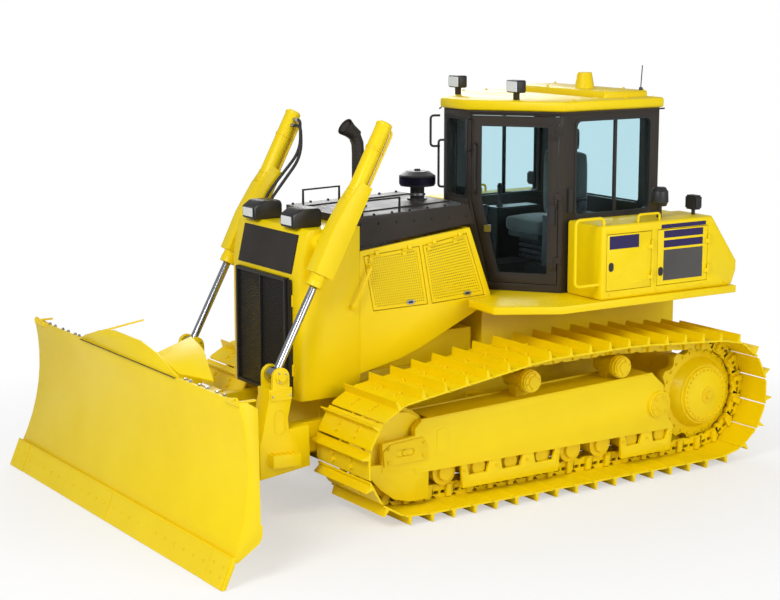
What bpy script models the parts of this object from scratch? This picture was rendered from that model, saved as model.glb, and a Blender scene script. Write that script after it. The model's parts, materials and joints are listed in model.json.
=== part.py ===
# Bulldozer on wide low-pressure tracks, with a power angle and tilt blade on an inside push frame.
# Metres, +Z up. The machine faces -Y and its left side is +X.
# Stations (y) are counted from the idler axle, and the whole is then moved so that the
# middle of its box stands at the origin.
import math

import bmesh
import bpy
from mathutils import Matrix, Vector

# Overall
GAP = 0.0003  # between pieces that touch
PANE_GAP = 0.0005  # round a pane in its frame
RUN = 0.0008  # round a pin in its bore
BLADE_REACH = 1.966  # cutting edge in front of the idler axle
WHEELBASE = 3.13  # idler axle to sprocket axle

THIN_ROD = 0.038
THIN_SIDES = 14
ROD_SIDES = 24

# Track
TRACK_GAUGE = 2.05
SHOE_WIDTH = 0.76
SHOE_COUNT = 44
GROUSER_HEIGHT = 0.065
SHOE_THICK = 0.016
PIN_TO_SHOE = 0.055  # pin line to the shoe's inner face
PIN_TO_RAIL = 0.060  # pin line to the rail that the rollers run on
RAIL_OUT = 0.110  # outer face of a rail from the chain's middle
RAIL_IN = 0.048
BUSH_R = 0.026
SPROCKET_R = 0.443  # to the pin line
IDLER_R = 0.383
CARRIERS = ((1.23, 0.930), (2.17, 0.937))  # station and height of the carrier rollers
CARRIER_R = 0.080
CARRIER_CAP_R = 0.086
CARRIER_DIP = 0.010  # how far a straight link dips between its pins over a carrier roller
ROLLER_R = 0.100
ROLLER_FIRST = 0.42
ROLLER_STEP = 0.315
ROLLER_COUNT = 8

# Track frame
FRAME_IN = 0.860
FRAME_OUT = 1.215
FRAME_BOTTOM = 0.345
FRAME_IN_REACH = TRACK_GAUGE / 2 - FRAME_IN

# Hull and engine bay
HULL_HALF = 0.420
HULL_FRONT = -0.28
HULL_REAR = 3.42
HULL_BOTTOM = 0.42
DECK = 1.53  # underside of the cab and of the boxes beside it
PIVOT_Y = 2.61
PIVOT_Z = 0.574
BAY_HALF = 0.550
BAY_WALL = 0.030
BAY_FLOOR = 1.00
GUARD_HALF = BAY_HALF
GUARD_FRONT = -0.53
GUARD_BACK = 0.020
GUARD_TOP = 2.20
GUARD_BOTTOM = 0.86
GRILLE_HALF = GUARD_HALF - 0.150
GRILLE_TOP = 1.82
GRILLE_THICK = 0.045

# Cab
CAB_FRONT_HALF = 0.19
CAB_HALF = 0.80
CAB_FRONT = 1.33
CAB_POST = 1.83  # station of the door's hinge post
CAB_REAR = 2.86
CAB_TOP = 3.03
CAB_WALL = 0.060
ROOF_THICK = 0.085
ROOF_OVER = 0.030
COVER_HIGH = 0.135  # top of the roof's raised cover over the cab's top
GLASS_THICK = 0.006
DOOR_GAP = 0.006  # round each door in its opening
KNUCKLE_R = 0.010
HINGE_OUT = 0.012  # a door hinge's line out of the door's face
LEAF_HALF = 0.003
LEAF_BITE = 0.006

# Boxes beside and behind the cab
BOX_OUT = CAB_HALF + 0.470
BOX_TOP = 2.14
BOX_FRONT = 1.87
BOX_REAR = 3.36
BOX_ROOMS = (("box_door_front", 1.92, 2.40), ("box_door_rear", 2.46, 3.02))  # station of each room's ends
BOX_DOOR_THICK = 0.020
BOX_LEDGE = 0.07  # frame under and over the rooms
FENDER_OUT = BOX_OUT + 0.030
FENDER_THICK = 0.060

# Blade and its push frame
BLADE_TOP = 1.262
BLADE_TOP_Y = -BLADE_REACH + 0.221
BLADE_HALF_LOW = 1.915
BLADE_HALF_TOP = 1.809
BLADE_LOW = (-BLADE_REACH + 0.104, 0.185)  # station and height of the mouldboard's lower end
BLADE_SAG = 0.092  # depth of its curve
BOARD_THICK = 0.028
END_THICK = 0.025
EDGE_THICK = 0.025
EDGE_OVER = 0.009  # cutting edge past the mouldboard at each end
EDGE_CLEAR = 0.004  # cutting edge above the ground as parked
LIFT_PIN = (0.90, 0.58)  # station and height of the push frame's hinge
ARM_IN = GUARD_HALF + 0.008
ARM_OUT = TRACK_GAUGE / 2 - SHOE_WIDTH / 2 - 0.009
ARM_LOW = 0.48
ARM_HIGH = 0.72
ANGLE_PIN_Y = -BLADE_REACH + 0.816
TILT_Z = 0.52
BLADE_BACK = -BLADE_REACH + 0.496  # flat back face that the yoke stands off

# Cylinders: x, then (station, height) of the two ends
LIFT_X = 0.70
LIFT_EYE = (-BLADE_REACH + 1.129, 1.143)
LIFT_TOP = (0.154, 3.000)
TRUNNION_Z = 2.09
ANGLE_BASE = (0.380, -BLADE_REACH + 1.266)  # x, station
ANGLE_EYE = (0.360, -BLADE_REACH + 0.596)
ANGLE_Z = 0.40
TILT_BASE = (-0.10, -BLADE_REACH + 0.451, 0.80)  # on the yoke's tower
TILT_EYE_X = 0.85
LIFT_TUBE_R = 0.062
LIFT_ROD_R = 0.031
EAR_IN = LIFT_TUBE_R + 0.006  # an ear of the lift clevis clears the barrel between the two
EAR_THICK = 0.026
ANGLE_TUBE_R = 0.045
ANGLE_ROD_R = 0.024
TILT_TUBE_R = 0.040
TILT_ROD_R = 0.022
TRUNNION_OUT = 0.083  # from a lift cylinder's axis to the face of its trunnion boss
IDLER_HUB = 0.150
DRIVE_IN = 0.35  # inner face of the final drive from the track's middle

PIN_H = GROUSER_HEIGHT + SHOE_THICK + PIN_TO_SHOE
TIP_SHORT = 0.0108  # the rearmost grouser stands this much short of the sprocket's full radius
DATUM_Y = (BLADE_REACH - WHEELBASE - SPROCKET_R - PIN_H + TIP_SHORT) / 2
SPROCKET_Z = PIN_H + SPROCKET_R
IDLER_Z = PIN_H + IDLER_R
TRACK_X = TRACK_GAUGE / 2


# Scene
for old in list(bpy.data.objects):
    bpy.data.objects.remove(old, do_unlink=True)
PARTS = bpy.data.collections.new("bulldozer")
CUTTERS = bpy.data.collections.new("cutters")
for group in (PARTS, CUTTERS):
    bpy.context.scene.collection.children.link(group)
CUTTERS.hide_render = True
DATUM = bpy.data.objects.new("datum", None)
DATUM.location = (0, DATUM_Y, 0)
PARTS.objects.link(DATUM)


def material(name, colour, roughness, metallic=0.0, alpha=1.0):
    made = bpy.data.materials.new(name)
    made.use_nodes = True
    shader = made.node_tree.nodes["Principled BSDF"]
    shader.inputs["Base Color"].default_value = (*colour, 1)
    shader.inputs["Roughness"].default_value = roughness
    shader.inputs["Metallic"].default_value = metallic
    shader.inputs["Alpha"].default_value = alpha
    return made


YELLOW = material("machine yellow", (0.93, 0.72, 0.0), 0.35)
BLACK = material("satin black", (0.02, 0.018, 0.015), 0.45)
DARK = material("cab brown black", (0.035, 0.028, 0.022), 0.4)
STEEL = material("chrome rod", (0.75, 0.76, 0.78), 0.12, 1.0)
GLASS = material("tinted glass", (0.55, 0.72, 0.75), 0.05, 0.0, 0.35)
SEAT = material("seat cloth", (0.05, 0.05, 0.055), 0.9)
GREY = material("cast grey", (0.2, 0.2, 0.2), 0.6)
CLEAR = material("clear lens", (0.85, 0.87, 0.88), 0.1)


# Shape helpers
def put(name, mesh, finish):
    """Makes an object of a mesh, under the machine's datum."""
    made = bpy.data.objects.new(name, mesh)
    PARTS.objects.link(made)
    made.parent = DATUM
    if finish:
        mesh.materials.clear()
        mesh.materials.append(finish)
    return made


def box(name, low, high, finish=None):
    mesh = bpy.data.meshes.new(name)
    shape = bmesh.new()
    bmesh.ops.create_cube(shape, size=1)
    size = Vector(high) - Vector(low)
    middle = (Vector(high) + Vector(low)) / 2
    bmesh.ops.transform(shape, matrix=Matrix.Translation(middle) @ Matrix.Diagonal((*size, 1)), verts=shape.verts)
    shape.to_mesh(mesh)
    shape.free()
    return put(name, mesh, finish)


def turn_to(direction):
    """A rotation that takes +Z to a direction."""
    return Vector((0, 0, 1)).rotation_difference(Vector(direction).normalized()).to_matrix().to_4x4()


def rod(name, start, end, radius, finish=None, sides=None, end_radius=None):
    """A round bar or cone between two points. A thin one gets fewer sides."""
    sides = sides or (THIN_SIDES if radius < THIN_ROD else ROD_SIDES)
    start = Vector(start)
    end = Vector(end)
    mesh = bpy.data.meshes.new(name)
    shape = bmesh.new()
    bmesh.ops.create_cone(
        shape,
        cap_ends=True,
        segments=sides,
        radius1=radius,
        radius2=radius if end_radius is None else end_radius,
        depth=(end - start).length,
        matrix=Matrix.Translation((start + end) / 2) @ turn_to(end - start),
    )
    shape.to_mesh(mesh)
    shape.free()
    return put(name, mesh, finish)


AXES = {
    "x": Matrix(((0, 0, 1, 0), (1, 0, 0, 0), (0, 1, 0, 0), (0, 0, 0, 1))),
    "y": Matrix(((1, 0, 0, 0), (0, 0, -1, 0), (0, 1, 0, 0), (0, 0, 0, 1))),
    "z": Matrix.Identity(4),
}


def corners_only(outline):
    """Leaves out the points that lie on a straight line between their neighbours."""
    kept = []
    for index, corner in enumerate(outline):
        here = Vector(corner)
        back = here - Vector(outline[index - 1])
        ahead = Vector(outline[(index + 1) % len(outline)]) - here
        if back.length > 1e-6 and abs(back.normalized().cross(ahead.normalized())) > 0.0005:
            kept.append(corner)
    return kept


def plate(name, outlines, low, high, across="x", finish=None):
    """A flat outline, or an outline with holes, made thick from low to high across an axis."""
    curve = bpy.data.curves.new(name, "CURVE")
    curve.dimensions = "2D"
    curve.fill_mode = "BOTH"
    curve.extrude = (high - low) / 2
    if not isinstance(outlines[0][0], (tuple, list)):
        outlines = [outlines]
    for outline in map(corners_only, outlines):
        spline = curve.splines.new("POLY")
        spline.points.add(len(outline) - 1)
        spline.use_cyclic_u = True
        for point, (a, b) in zip(spline.points, outline):
            point.co = (a, b, 0, 1)
    flat = bpy.data.objects.new(name, curve)
    CUTTERS.objects.link(flat)
    mesh = as_mesh(flat)
    bpy.data.objects.remove(flat)
    bpy.data.curves.remove(curve)
    side = -1 if across == "y" else 1
    mesh.transform(AXES[across] @ Matrix.Translation((0, 0, side * (low + high) / 2)))
    return put(name, mesh, finish)


def as_mesh(thing):
    """The evaluated mesh of an object, with its loose caps welded."""
    graph = bpy.context.evaluated_depsgraph_get()
    graph.update()
    mesh = bpy.data.meshes.new_from_object(thing.evaluated_get(graph))
    shape = bmesh.new()
    shape.from_mesh(mesh)
    bmesh.ops.remove_doubles(shape, verts=shape.verts, dist=0.00002)
    bmesh.ops.recalc_face_normals(shape, faces=shape.faces)
    shape.to_mesh(mesh)
    shape.free()
    return mesh


def tube(name, points, radius, finish=None, resolution=2):
    """A round bar bent along points, as a curve made a mesh."""
    curve = bpy.data.curves.new(name, "CURVE")
    curve.dimensions = "3D"
    curve.bevel_depth = radius
    curve.bevel_resolution = resolution
    curve.use_fill_caps = True
    spline = curve.splines.new("POLY")
    spline.points.add(len(points) - 1)
    for point, place in zip(spline.points, points):
        point.co = (*place, 1)
    bar = bpy.data.objects.new(name, curve)
    CUTTERS.objects.link(bar)
    mesh = as_mesh(bar)
    bpy.data.objects.remove(bar)
    bpy.data.curves.remove(curve)
    return put(name, mesh, finish)


def basis(origin, a, b, c):
    """A matrix whose axes are three directions from an origin."""
    made = Matrix((a, b, c)).transposed().to_4x4()
    made.translation = origin
    return made


def hinge(fixed, moving, start, along, length, to_fixed, to_moving, out):
    """A barrel hinge: a knuckle on the door, one on its frame beside it, each with its leaf.

    A leaf runs from the hinge's line by to_fixed or to_moving and then bites into the face behind it.
    """
    start = Vector(start)
    along = Vector(along).normalized()
    out = Vector(out)
    for owner, shift, reach in ((moving, 0, to_moving), (fixed, length + GAP, to_fixed)):
        place = start + along * shift
        join(owner, rod("knuckle", place, place + along * length, KNUCKLE_R, None, 10))
        far = Vector(reach).length
        near = far * 0.45
        deep = -HINGE_OUT - LEAF_BITE
        profile = [(0, LEAF_HALF), (far, LEAF_HALF), (far, deep), (near, deep), (near, -LEAF_HALF), (0, -LEAF_HALF)]
        leaf = plate("leaf", profile, 0.001, length - 0.001, "z")
        frame = basis(place, Vector(reach).normalized(), out, along)
        leaf.data.transform(frame)
        if frame.determinant() < 0:
            leaf.data.flip_normals()
        join(owner, leaf)


def helper(thing):
    """Takes an object out of the part and keeps it as a cutter."""
    PARTS.objects.unlink(thing)
    CUTTERS.objects.link(thing)
    thing.hide_render = True
    thing.display_type = "WIRE"
    return thing


def combine(base, others, operation):
    for other in others:
        step = base.modifiers.new(operation.lower(), "BOOLEAN")
        step.operation = operation
        step.solver = "EXACT"
        step.object = helper(other)
    return base


def join(base, *others):
    return combine(base, others, "UNION")


def cut(base, *others):
    return combine(base, others, "DIFFERENCE")


def bevel(thing, width, segments=1, limit=40):
    step = thing.modifiers.new("edges", "BEVEL")
    step.width = width
    step.segments = segments
    step.limit_method = "ANGLE"
    step.angle_limit = math.radians(limit)
    step.use_clamp_overlap = True
    return thing


def rounded(points, radius, steps=3):
    """An outline with its corners rounded by arcs."""
    made = []
    count = len(points)
    for index, corner in enumerate(points):
        here = Vector(corner)
        back = (Vector(points[index - 1]) - here).normalized()
        ahead = (Vector(points[(index + 1) % count]) - here).normalized()
        half = back.angle(ahead) / 2
        reach = radius / math.tan(half)
        centre = here + (back + ahead).normalized() * (radius / math.sin(half))
        start = here + back * reach - centre
        end = here + ahead * reach - centre
        sweep = start.angle_signed(end)
        for step in range(steps + 1):
            turn = Matrix.Rotation(-sweep * step / steps, 2)
            made.append(tuple(centre + turn @ start))
    return made


def bent(points, radius, steps=3):
    """An open line in a plane, with its inner corners rounded by arcs."""
    loop = rounded(points, radius, steps)
    return [points[0]] + loop[steps + 1 : -(steps + 1)] + [points[-1]]


def mirrored(points):
    """An outline given on its left half, closed by its mirror image."""
    return list(points) + [(-a, b) for a, b in reversed(points)]


def axis_empty(name, place, things):
    """An empty on a joint's axis that carries the pieces of its body."""
    empty = bpy.data.objects.new(name, None)
    PARTS.objects.link(empty)
    empty.parent = DATUM
    empty.location = place
    for thing in things:
        thing.parent = empty
        thing.matrix_parent_inverse = Matrix.Translation(place).inverted()
    return empty


SIDES = (("left", 1), ("right", -1))


# Track chain
def tangent(first, second):
    """The outer tangent of two circles (y, z, r), keeping both on its right-hand side."""
    (ya, za, ra), (yb, zb, rb) = first, second
    along = Vector((yb - ya, zb - za))
    lean = math.asin((rb - ra) / along.length)
    normal = Vector((-along.y, along.x)).normalized()
    normal = Matrix.Rotation(lean, 2) @ normal
    return Vector((ya, za)) + normal * ra, Vector((yb, zb)) + normal * rb, normal


def pin_path():
    """The loop that the track's pins follow, as fine points: rearwards on top, forwards below."""
    rise = CARRIER_R + PIN_TO_RAIL + CARRIER_DIP
    wheels = [(0, IDLER_Z, IDLER_R)]
    wheels += [(y, z, rise) for y, z in CARRIERS]
    wheels += [(WHEELBASE, SPROCKET_Z, SPROCKET_R)]
    runs = [tangent(wheels[n], wheels[(n + 1) % len(wheels)]) for n in range(len(wheels))]
    points = []
    for n, wheel in enumerate(wheels):
        arrive = runs[n - 1][2]
        leave = runs[n][2]
        sweep = arrive.angle_signed(leave) % (2 * math.pi)
        count = max(2, int(sweep / math.radians(2)))
        for step in range(count + 1):
            spoke = Matrix.Rotation(-sweep * step / count, 2) @ arrive
            points.append(Vector(wheel[:2]) + spoke * wheel[2])
    return points


def pins_on(path, count):
    """Pin places at even steps along a closed path."""
    loop = path + [path[0]]
    lengths = [0.0]
    for a, b in zip(loop, loop[1:]):
        lengths.append(lengths[-1] + (b - a).length)
    places = []
    span = 0
    for n in range(count):
        want = lengths[-1] * (n + 0.5) / count
        while lengths[span + 1] < want:
            span += 1
        share = (want - lengths[span]) / (lengths[span + 1] - lengths[span])
        places.append(loop[span].lerp(loop[span + 1], share))
    return places


def chain_outline(pins, profile):
    """Points along the chain, from (share of the link, height outside the pin line) pairs."""
    made = []
    for n, start in enumerate(pins):
        end = pins[(n + 1) % len(pins)]
        along = end - start
        out = Vector((-along.y, along.x)).normalized()
        made += [tuple(start + along * share + out * height) for share, height in profile]
    return made


def chain_line(pins, height):
    """A closed line that runs beside the links at one height, mitred at each pin."""
    made = []
    for n, pin in enumerate(pins):
        back = (pin - pins[n - 1]).normalized()
        ahead = (pins[(n + 1) % len(pins)] - pin).normalized()
        out = Vector((-back.y - ahead.y, back.x + ahead.x)).normalized()
        lean = out.dot(Vector((-back.y, back.x)))
        made.append(tuple(pin + out * height / lean))
    return made


def band(name, outer, inner, low, high, finish=None):
    """A closed loop of even thickness between two lines in y and z, made wide from low to high."""
    shape = bmesh.new()
    edges = []
    for line in (outer, inner):
        ring = [shape.verts.new((low, y, z)) for y, z in line]
        edges += [shape.edges.new((a, b)) for a, b in zip(ring, ring[1:] + ring[:1])]
    bmesh.ops.bridge_loops(shape, edges=edges)
    wide = bmesh.ops.extrude_face_region(shape, geom=shape.faces[:])
    moved = [item for item in wide["geom"] if isinstance(item, bmesh.types.BMVert)]
    bmesh.ops.translate(shape, vec=(high - low, 0, 0), verts=moved)
    bmesh.ops.recalc_face_normals(shape, faces=shape.faces)
    mesh = bpy.data.meshes.new(name)
    shape.to_mesh(mesh)
    shape.free()
    return put(name, mesh, finish)


def shoe_ring(name, pins, low, high):
    """All the shoes of a track as one ring: a flat plate with one grouser for each link."""
    top = PIN_TO_SHOE + SHOE_THICK
    tip = top + GROUSER_HEIGHT
    shoe = ((0.05, top), (0.72, top), (0.78, tip), (0.84, tip), (0.95, top))
    under = ((0.95, PIN_TO_SHOE), (0.05, PIN_TO_SHOE))
    shape = bmesh.new()
    links = []
    for n, start in enumerate(pins):
        pair = [start, pins[(n + 1) % len(pins)]]
        corners = chain_outline(pair, shoe + under)[: len(shoe) + len(under)]
        links.append([shape.verts.new((low, *corner)) for corner in corners])
    for n, link in enumerate(links):
        ahead = links[(n + 1) % len(links)]
        shape.faces.new(link)
        shape.faces.new((link[4], ahead[0], ahead[6], link[5]))
    wide = bmesh.ops.extrude_face_region(shape, geom=shape.faces[:])
    moved = [item for item in wide["geom"] if isinstance(item, bmesh.types.BMVert)]
    bmesh.ops.translate(shape, vec=(high - low, 0, 0), verts=moved)
    bmesh.ops.recalc_face_normals(shape, faces=shape.faces)
    mesh = bpy.data.meshes.new(name)
    shape.to_mesh(mesh)
    shape.free()
    return put(name, mesh, YELLOW)


def make_track(side, sign):
    pins = pins_on(pin_path(), SHOE_COUNT)
    name = "track_" + side
    spans = sorted((sign * (TRACK_X - SHOE_WIDTH / 2), sign * (TRACK_X + SHOE_WIDTH / 2)))
    shoes = shoe_ring(name, pins, *spans)
    rails = []
    for inner_face, outer_face in ((RAIL_IN, RAIL_OUT), (-RAIL_OUT, -RAIL_IN)):
        ends = sorted((sign * TRACK_X + inner_face, sign * TRACK_X + outer_face))
        outside = chain_line(pins, PIN_TO_SHOE + 0.006)
        inside = chain_line(pins, -PIN_TO_RAIL)
        rails.append(band(name + "_rail", outside, inside, ends[0], ends[1]))
    return join(shoes, *rails)


def idler_rim():
    """Radius at which the straight rails of the chain touch the idler."""
    half_link = math.asin(link_length() / 2 / IDLER_R)
    return IDLER_R * math.cos(half_link) - PIN_TO_RAIL - 2 * GAP


def link_length():
    """The longest link, which is a straight one."""
    pins = pins_on(pin_path(), SHOE_COUNT)
    return max((b - a).length for a, b in zip(pins, pins[1:]))


def make_idler(side, sign):
    rim = idler_rim()
    x = sign * TRACK_X
    wheel = rod("idler_" + side, (x - RAIL_OUT, 0, IDLER_Z), (x + RAIL_OUT, 0, IDLER_Z), rim, YELLOW, 24)
    flange = RAIL_IN - 0.006
    ring = rod("idler_flange", (x - flange, 0, IDLER_Z), (x + flange, 0, IDLER_Z), rim + 0.028, None, 24)
    hub = rod("idler_hub", (x - IDLER_HUB, 0, IDLER_Z), (x + IDLER_HUB, 0, IDLER_Z), 0.09, None, 12)
    return join(wheel, ring, hub)


def make_sprocket(side, sign):
    """Toothed ring between the rails, with the final drive's dished cover and hub."""
    x = sign * TRACK_X
    teeth = []
    count = 13
    for n in range(count):
        for share, inwards in ((0.12, 0.068), (0.38, 0.018), (0.62, 0.018), (0.88, 0.068)):
            angle = 2 * math.pi * (n + share) / count
            radius = SPROCKET_R - inwards
            teeth.append((WHEELBASE + radius * math.cos(angle), SPROCKET_Z + radius * math.sin(angle)))
    half = RAIL_IN - 0.010
    sprocket = plate("sprocket_" + side, teeth, x - half, x + half, "x", YELLOW)
    axle = WHEELBASE, SPROCKET_Z
    for start, end, radius, end_radius in (
        (-DRIVE_IN, 0.06, 0.280, 0.280),
        (-0.01, 0.125, 0.335, 0.265),
        (0.12, 0.155, 0.240, 0.235),
        (0.15, 0.185, 0.190, 0.110),
    ):
        places = [(x + sign * reach, *axle) for reach in (start, end)]
        join(sprocket, rod("drive", *places, radius, None, 20, end_radius))
    return sprocket


def make_track_frame(side, sign):
    """Box beam with its rollers, guards and yoke for the idler."""
    rear = WHEELBASE - SPROCKET_R
    outline = [
        (0.10, 0.70),
        (0.16, 0.755),
        (rear - 0.187, 0.84),
        (rear - 0.067, 0.73),
        (rear - 0.047, 0.50),
        (rear + 0.060, FRAME_BOTTOM),
        (0.10, FRAME_BOTTOM),
    ]
    low, high = sorted((sign * FRAME_IN, sign * FRAME_OUT))
    x = sign * TRACK_X
    clear = IDLER_R - PIN_TO_RAIL + 0.02
    beam = plate("track_frame_" + side, outline, low, high, "x", YELLOW)
    cut(beam, rod("idler_room", (x - 0.125, 0, IDLER_Z), (x + 0.125, 0, IDLER_Z), clear + 0.01, None, 24))
    hub = IDLER_HUB + GAP
    for inner, outer in ((hub, 0.190), (-FRAME_IN_REACH, -hub)):
        ends = sorted((x + sign * inner, x + sign * outer))
        join(beam, plate("idler_yoke", [(-0.20, 0.40), (-0.20, 0.62), (0.30, 0.66), (0.30, 0.38)], *ends))
    for n in range(ROLLER_COUNT):
        y = ROLLER_FIRST + n * ROLLER_STEP
        z = PIN_H + PIN_TO_RAIL + ROLLER_R + GAP
        join(beam, rod("roller", (x - RAIL_OUT, y, z), (x + RAIL_OUT, y, z), ROLLER_R, None, 12))
    for y, z in CARRIERS:
        join(beam, rod("carrier", (x - sign * RAIL_OUT, y, z), (x + sign * (RAIL_OUT + 0.02), y, z), CARRIER_R, None, 16))
        start = x + sign * (RAIL_OUT + 0.006)
        join(beam, rod("carrier_cap", (start, y, z), (x + sign * 0.19, y, z), CARRIER_CAP_R, None, 16))
        join(beam, box("bracket", (x - RAIL_IN, y - 0.06, 0.70), (x + RAIL_IN, y + 0.06, z)))
    faces = sorted((x + sign * 0.157, x + sign * 0.184))
    for start, end in GUARD_RUNS:
        join(beam, plate("roller_guard", guard_outline(start, end), *faces))
    join(beam, plate("idler_guard", IDLER_GUARD, *faces))
    cap = rod("pivot_cap", (x, PIVOT_Y - 0.05, PIVOT_Z), (x + sign * 0.22, PIVOT_Y - 0.05, PIVOT_Z), 0.115, None, 16)
    return join(beam, cap)


GUARD_RUNS = ((0.54, 1.53), (2.16, 2.74))  # stations that the roller guards cover
IDLER_GUARD = (
    (-0.345, 0.465),
    (-0.300, 0.365),
    (-0.215, 0.265),
    (-0.090, 0.168),
    (0.060, 0.128),
    (0.230, 0.128),
    (0.230, 0.390),
    (-0.100, 0.450),
)


def guard_outline(start, end):
    """A roller guard: a strip along the bottom, hung from the beam by ribs that widen downwards."""
    bottom, strip, top = 0.155, 0.255, FRAME_BOTTOM + 0.015
    count = max(2, round((end - start) / 0.33))
    step = (end - start) / count
    points = [(start, top), (start + 0.02, bottom), (end - 0.02, bottom), (end, top)]
    for n in reversed(range(count)):
        left = start + n * step
        points += [(left + step - 0.05, top), (left + step - 0.075, strip), (left + 0.075, strip), (left + 0.05, top)]
    return points


# Hull
def make_hull():
    hull = box("hull", (-HULL_HALF, HULL_FRONT, HULL_BOTTOM), (HULL_HALF, HULL_REAR, BAY_FLOOR - GAP), YELLOW)
    deck = box("hull_deck", (-HULL_HALF, 1.30, 0.90), (HULL_HALF, HULL_REAR, DECK - FENDER_THICK - GAP))
    join(hull, deck)
    y, z = LIFT_PIN
    join(hull, rod("frame_pin", (-ARM_OUT + 0.01, y, z), (ARM_OUT - 0.01, y, z), 0.050))
    reach = FRAME_IN - GAP
    join(hull, rod("pivot_shaft", (-reach, PIVOT_Y - 0.05, PIVOT_Z), (reach, PIVOT_Y - 0.05, PIVOT_Z), 0.08))
    join(hull, box("equalizer", (-reach, 1.14, 0.56), (reach, 1.30, 0.70)))
    drive = TRACK_X - DRIVE_IN - GAP
    join(hull, rod("drive_case", (-drive, WHEELBASE, SPROCKET_Z), (drive, WHEELBASE, SPROCKET_Z), 0.26, None, 20))
    join(hull, box("drawbar", (-0.10, HULL_REAR - 0.02, 0.45), (0.10, HULL_REAR + 0.16, 0.56)))
    return hull


def make_guard():
    """Radiator guard: a box column, open in front behind the grille and open to the bay."""
    profile = [
        (GUARD_FRONT, GUARD_BOTTOM),
        (GUARD_FRONT, GRILLE_TOP + 0.02),
        (GUARD_FRONT + 0.075, GUARD_TOP - 0.03),
        (GUARD_FRONT + 0.105, GUARD_TOP),
        (GUARD_BACK, GUARD_TOP),
        (GUARD_BACK, GUARD_BOTTOM),
    ]
    guard = plate("radiator_guard", profile, -GUARD_HALF - 0.1, GUARD_HALF + 0.1, "x", YELLOW)
    wide, far = GUARD_HALF, GUARD_BACK + 0.1
    plan = rounded([(wide, GUARD_FRONT), (wide, far), (-wide, far), (-wide, GUARD_FRONT)], 0.05)
    combine(guard, [plate("guard_plan", plan, GUARD_BOTTOM - 0.1, GUARD_TOP + 0.1, "z")], "INTERSECT")
    room_half = GUARD_HALF - 0.11
    low = (-room_half, GUARD_FRONT - 0.1, GUARD_BOTTOM + 0.05)
    cut(guard, box("guard_room", low, (room_half, GUARD_BACK + 0.1, GRILLE_TOP - 0.03)))
    tank_half = room_half + 0.02
    low = (-tank_half, -0.25, GUARD_BOTTOM + 0.02)
    join(guard, box("radiator", low, (tank_half, -0.12, GRILLE_TOP + 0.1)))
    for side, sign in SIDES:
        y = trunnion()[0]
        x_end = LIFT_X - TRUNNION_OUT - GAP
        boss = rod("trunnion_boss", (sign * 0.47, y, TRUNNION_Z), (sign * x_end, y, TRUNNION_Z), 0.085, None, 20)
        join(guard, boss)
    low = (-HULL_HALF - GAP, HULL_FRONT - GAP, GUARD_BOTTOM - 0.1)
    return cut(guard, box("guard_foot", low, (HULL_HALF + GAP, GUARD_BACK + 0.1, BAY_FLOOR)))


def make_bay():
    """Engine bay: side walls with door openings, floor and firewall."""
    start = GUARD_BACK + GAP
    wall = [
        (start, 2.00),
        (1.075, 2.11),
        (1.30, 1.515),
        (1.27, 1.47),
        (0.60, 1.17),
        (0.40, 1.10),
        (start, BAY_FLOOR + 0.02),
    ]
    bay = plate("engine_bay", wall, -BAY_HALF, BAY_HALF, "x", YELLOW)
    inner = BAY_HALF - BAY_WALL
    keel = box("bay_keel", (-0.40, 0.10, BAY_FLOOR), (0.40, 1.20, 1.25))
    join(bay, keel)
    room = [(-0.1, 2.3), (1.03, 2.3), (1.09, 1.46), (0.60, 1.21), (-0.1, 1.21)]
    cut(bay, plate("bay_room", room, -inner, inner))
    cut(bay, box("bay_tub", (-0.36, 0.14, BAY_FLOOR + 0.04), (0.36, 1.00, 1.60)))
    cut(bay, box("cab_room", (-inner, 1.18, 1.50), (inner, 1.60, 2.30)))
    for corners in (door_corners(0), door_corners(1)):
        grown = grow(corners, DOOR_GAP)
        cut(bay, plate("door_hole", grown, -BAY_HALF - 0.1, BAY_HALF + 0.1))
    return bay


DOOR_TABLE = (
    # front top, rear top, rear bottom, front bottom, as (station, height)
    ((0.060, 1.955), (0.578, 1.992), (0.664, 1.521), (0.150, 1.516)),
    ((0.620, 1.995), (1.040, 2.060), (1.225, 1.544), (0.713, 1.522)),
)


def door_corners(index):
    return DOOR_TABLE[index]


def grow(corners, amount):
    """A convex outline moved outwards by an amount."""
    middle = sum((Vector(c) for c in corners), Vector((0, 0))) / len(corners)
    made = []
    count = len(corners)
    for n in range(count):
        here = Vector(corners[n])
        before = (here - Vector(corners[n - 1])).normalized()
        after = (Vector(corners[(n + 1) % count]) - here).normalized()
        normals = []
        for edge in (before, after):
            normal = Vector((edge.y, -edge.x))
            if normal.dot(here - middle) < 0:
                normal = -normal
            normals.append(normal)
        bisector = (normals[0] + normals[1]).normalized()
        made.append(tuple(here + bisector * amount / bisector.dot(normals[0])))
    return made


def engine_hinge(index, sign):
    """Start and direction of an engine door's hinge line, along the gap over its top edge."""
    start, end = (Vector((sign * (BAY_HALF + HINGE_OUT), *corner)) for corner in door_corners(index)[:2])
    along = (end - start).normalized()
    up = Vector((0, -along.z, along.y))
    return start + up * DOOR_GAP / 2, along, up, (end - start).length


def make_engine_doors(bay, side, sign):
    for index, where in enumerate(("front", "rear")):
        low, high = sorted((sign * (BAY_HALF - BAY_WALL), sign * BAY_HALF))
        door = plate("engine_door_%s_%s" % (where, side), door_corners(index), low, high, "x", YELLOW)
        start, along, up, length = engine_hinge(index, sign)
        for share in (0.12, 0.72):
            place = start + along * length * share
            hinge(bay, door, place, along, 0.035, up * 0.030, up * -0.040, (sign, 0, 0))
        axis_empty("engine_door_hinge_%s_%s" % (where, side), tuple(start), [door])


def make_engine():
    return box("engine_block", (-0.33, 0.17, BAY_FLOOR + 0.04 + GAP), (0.33, 0.97, 1.90), GREY)


EXHAUST_SEAT = (0.35, 2.288, 0.075)  # station, height and radius of the ring that it stands on
AIR_SEAT = (0.93, 2.306, 0.085)


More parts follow.
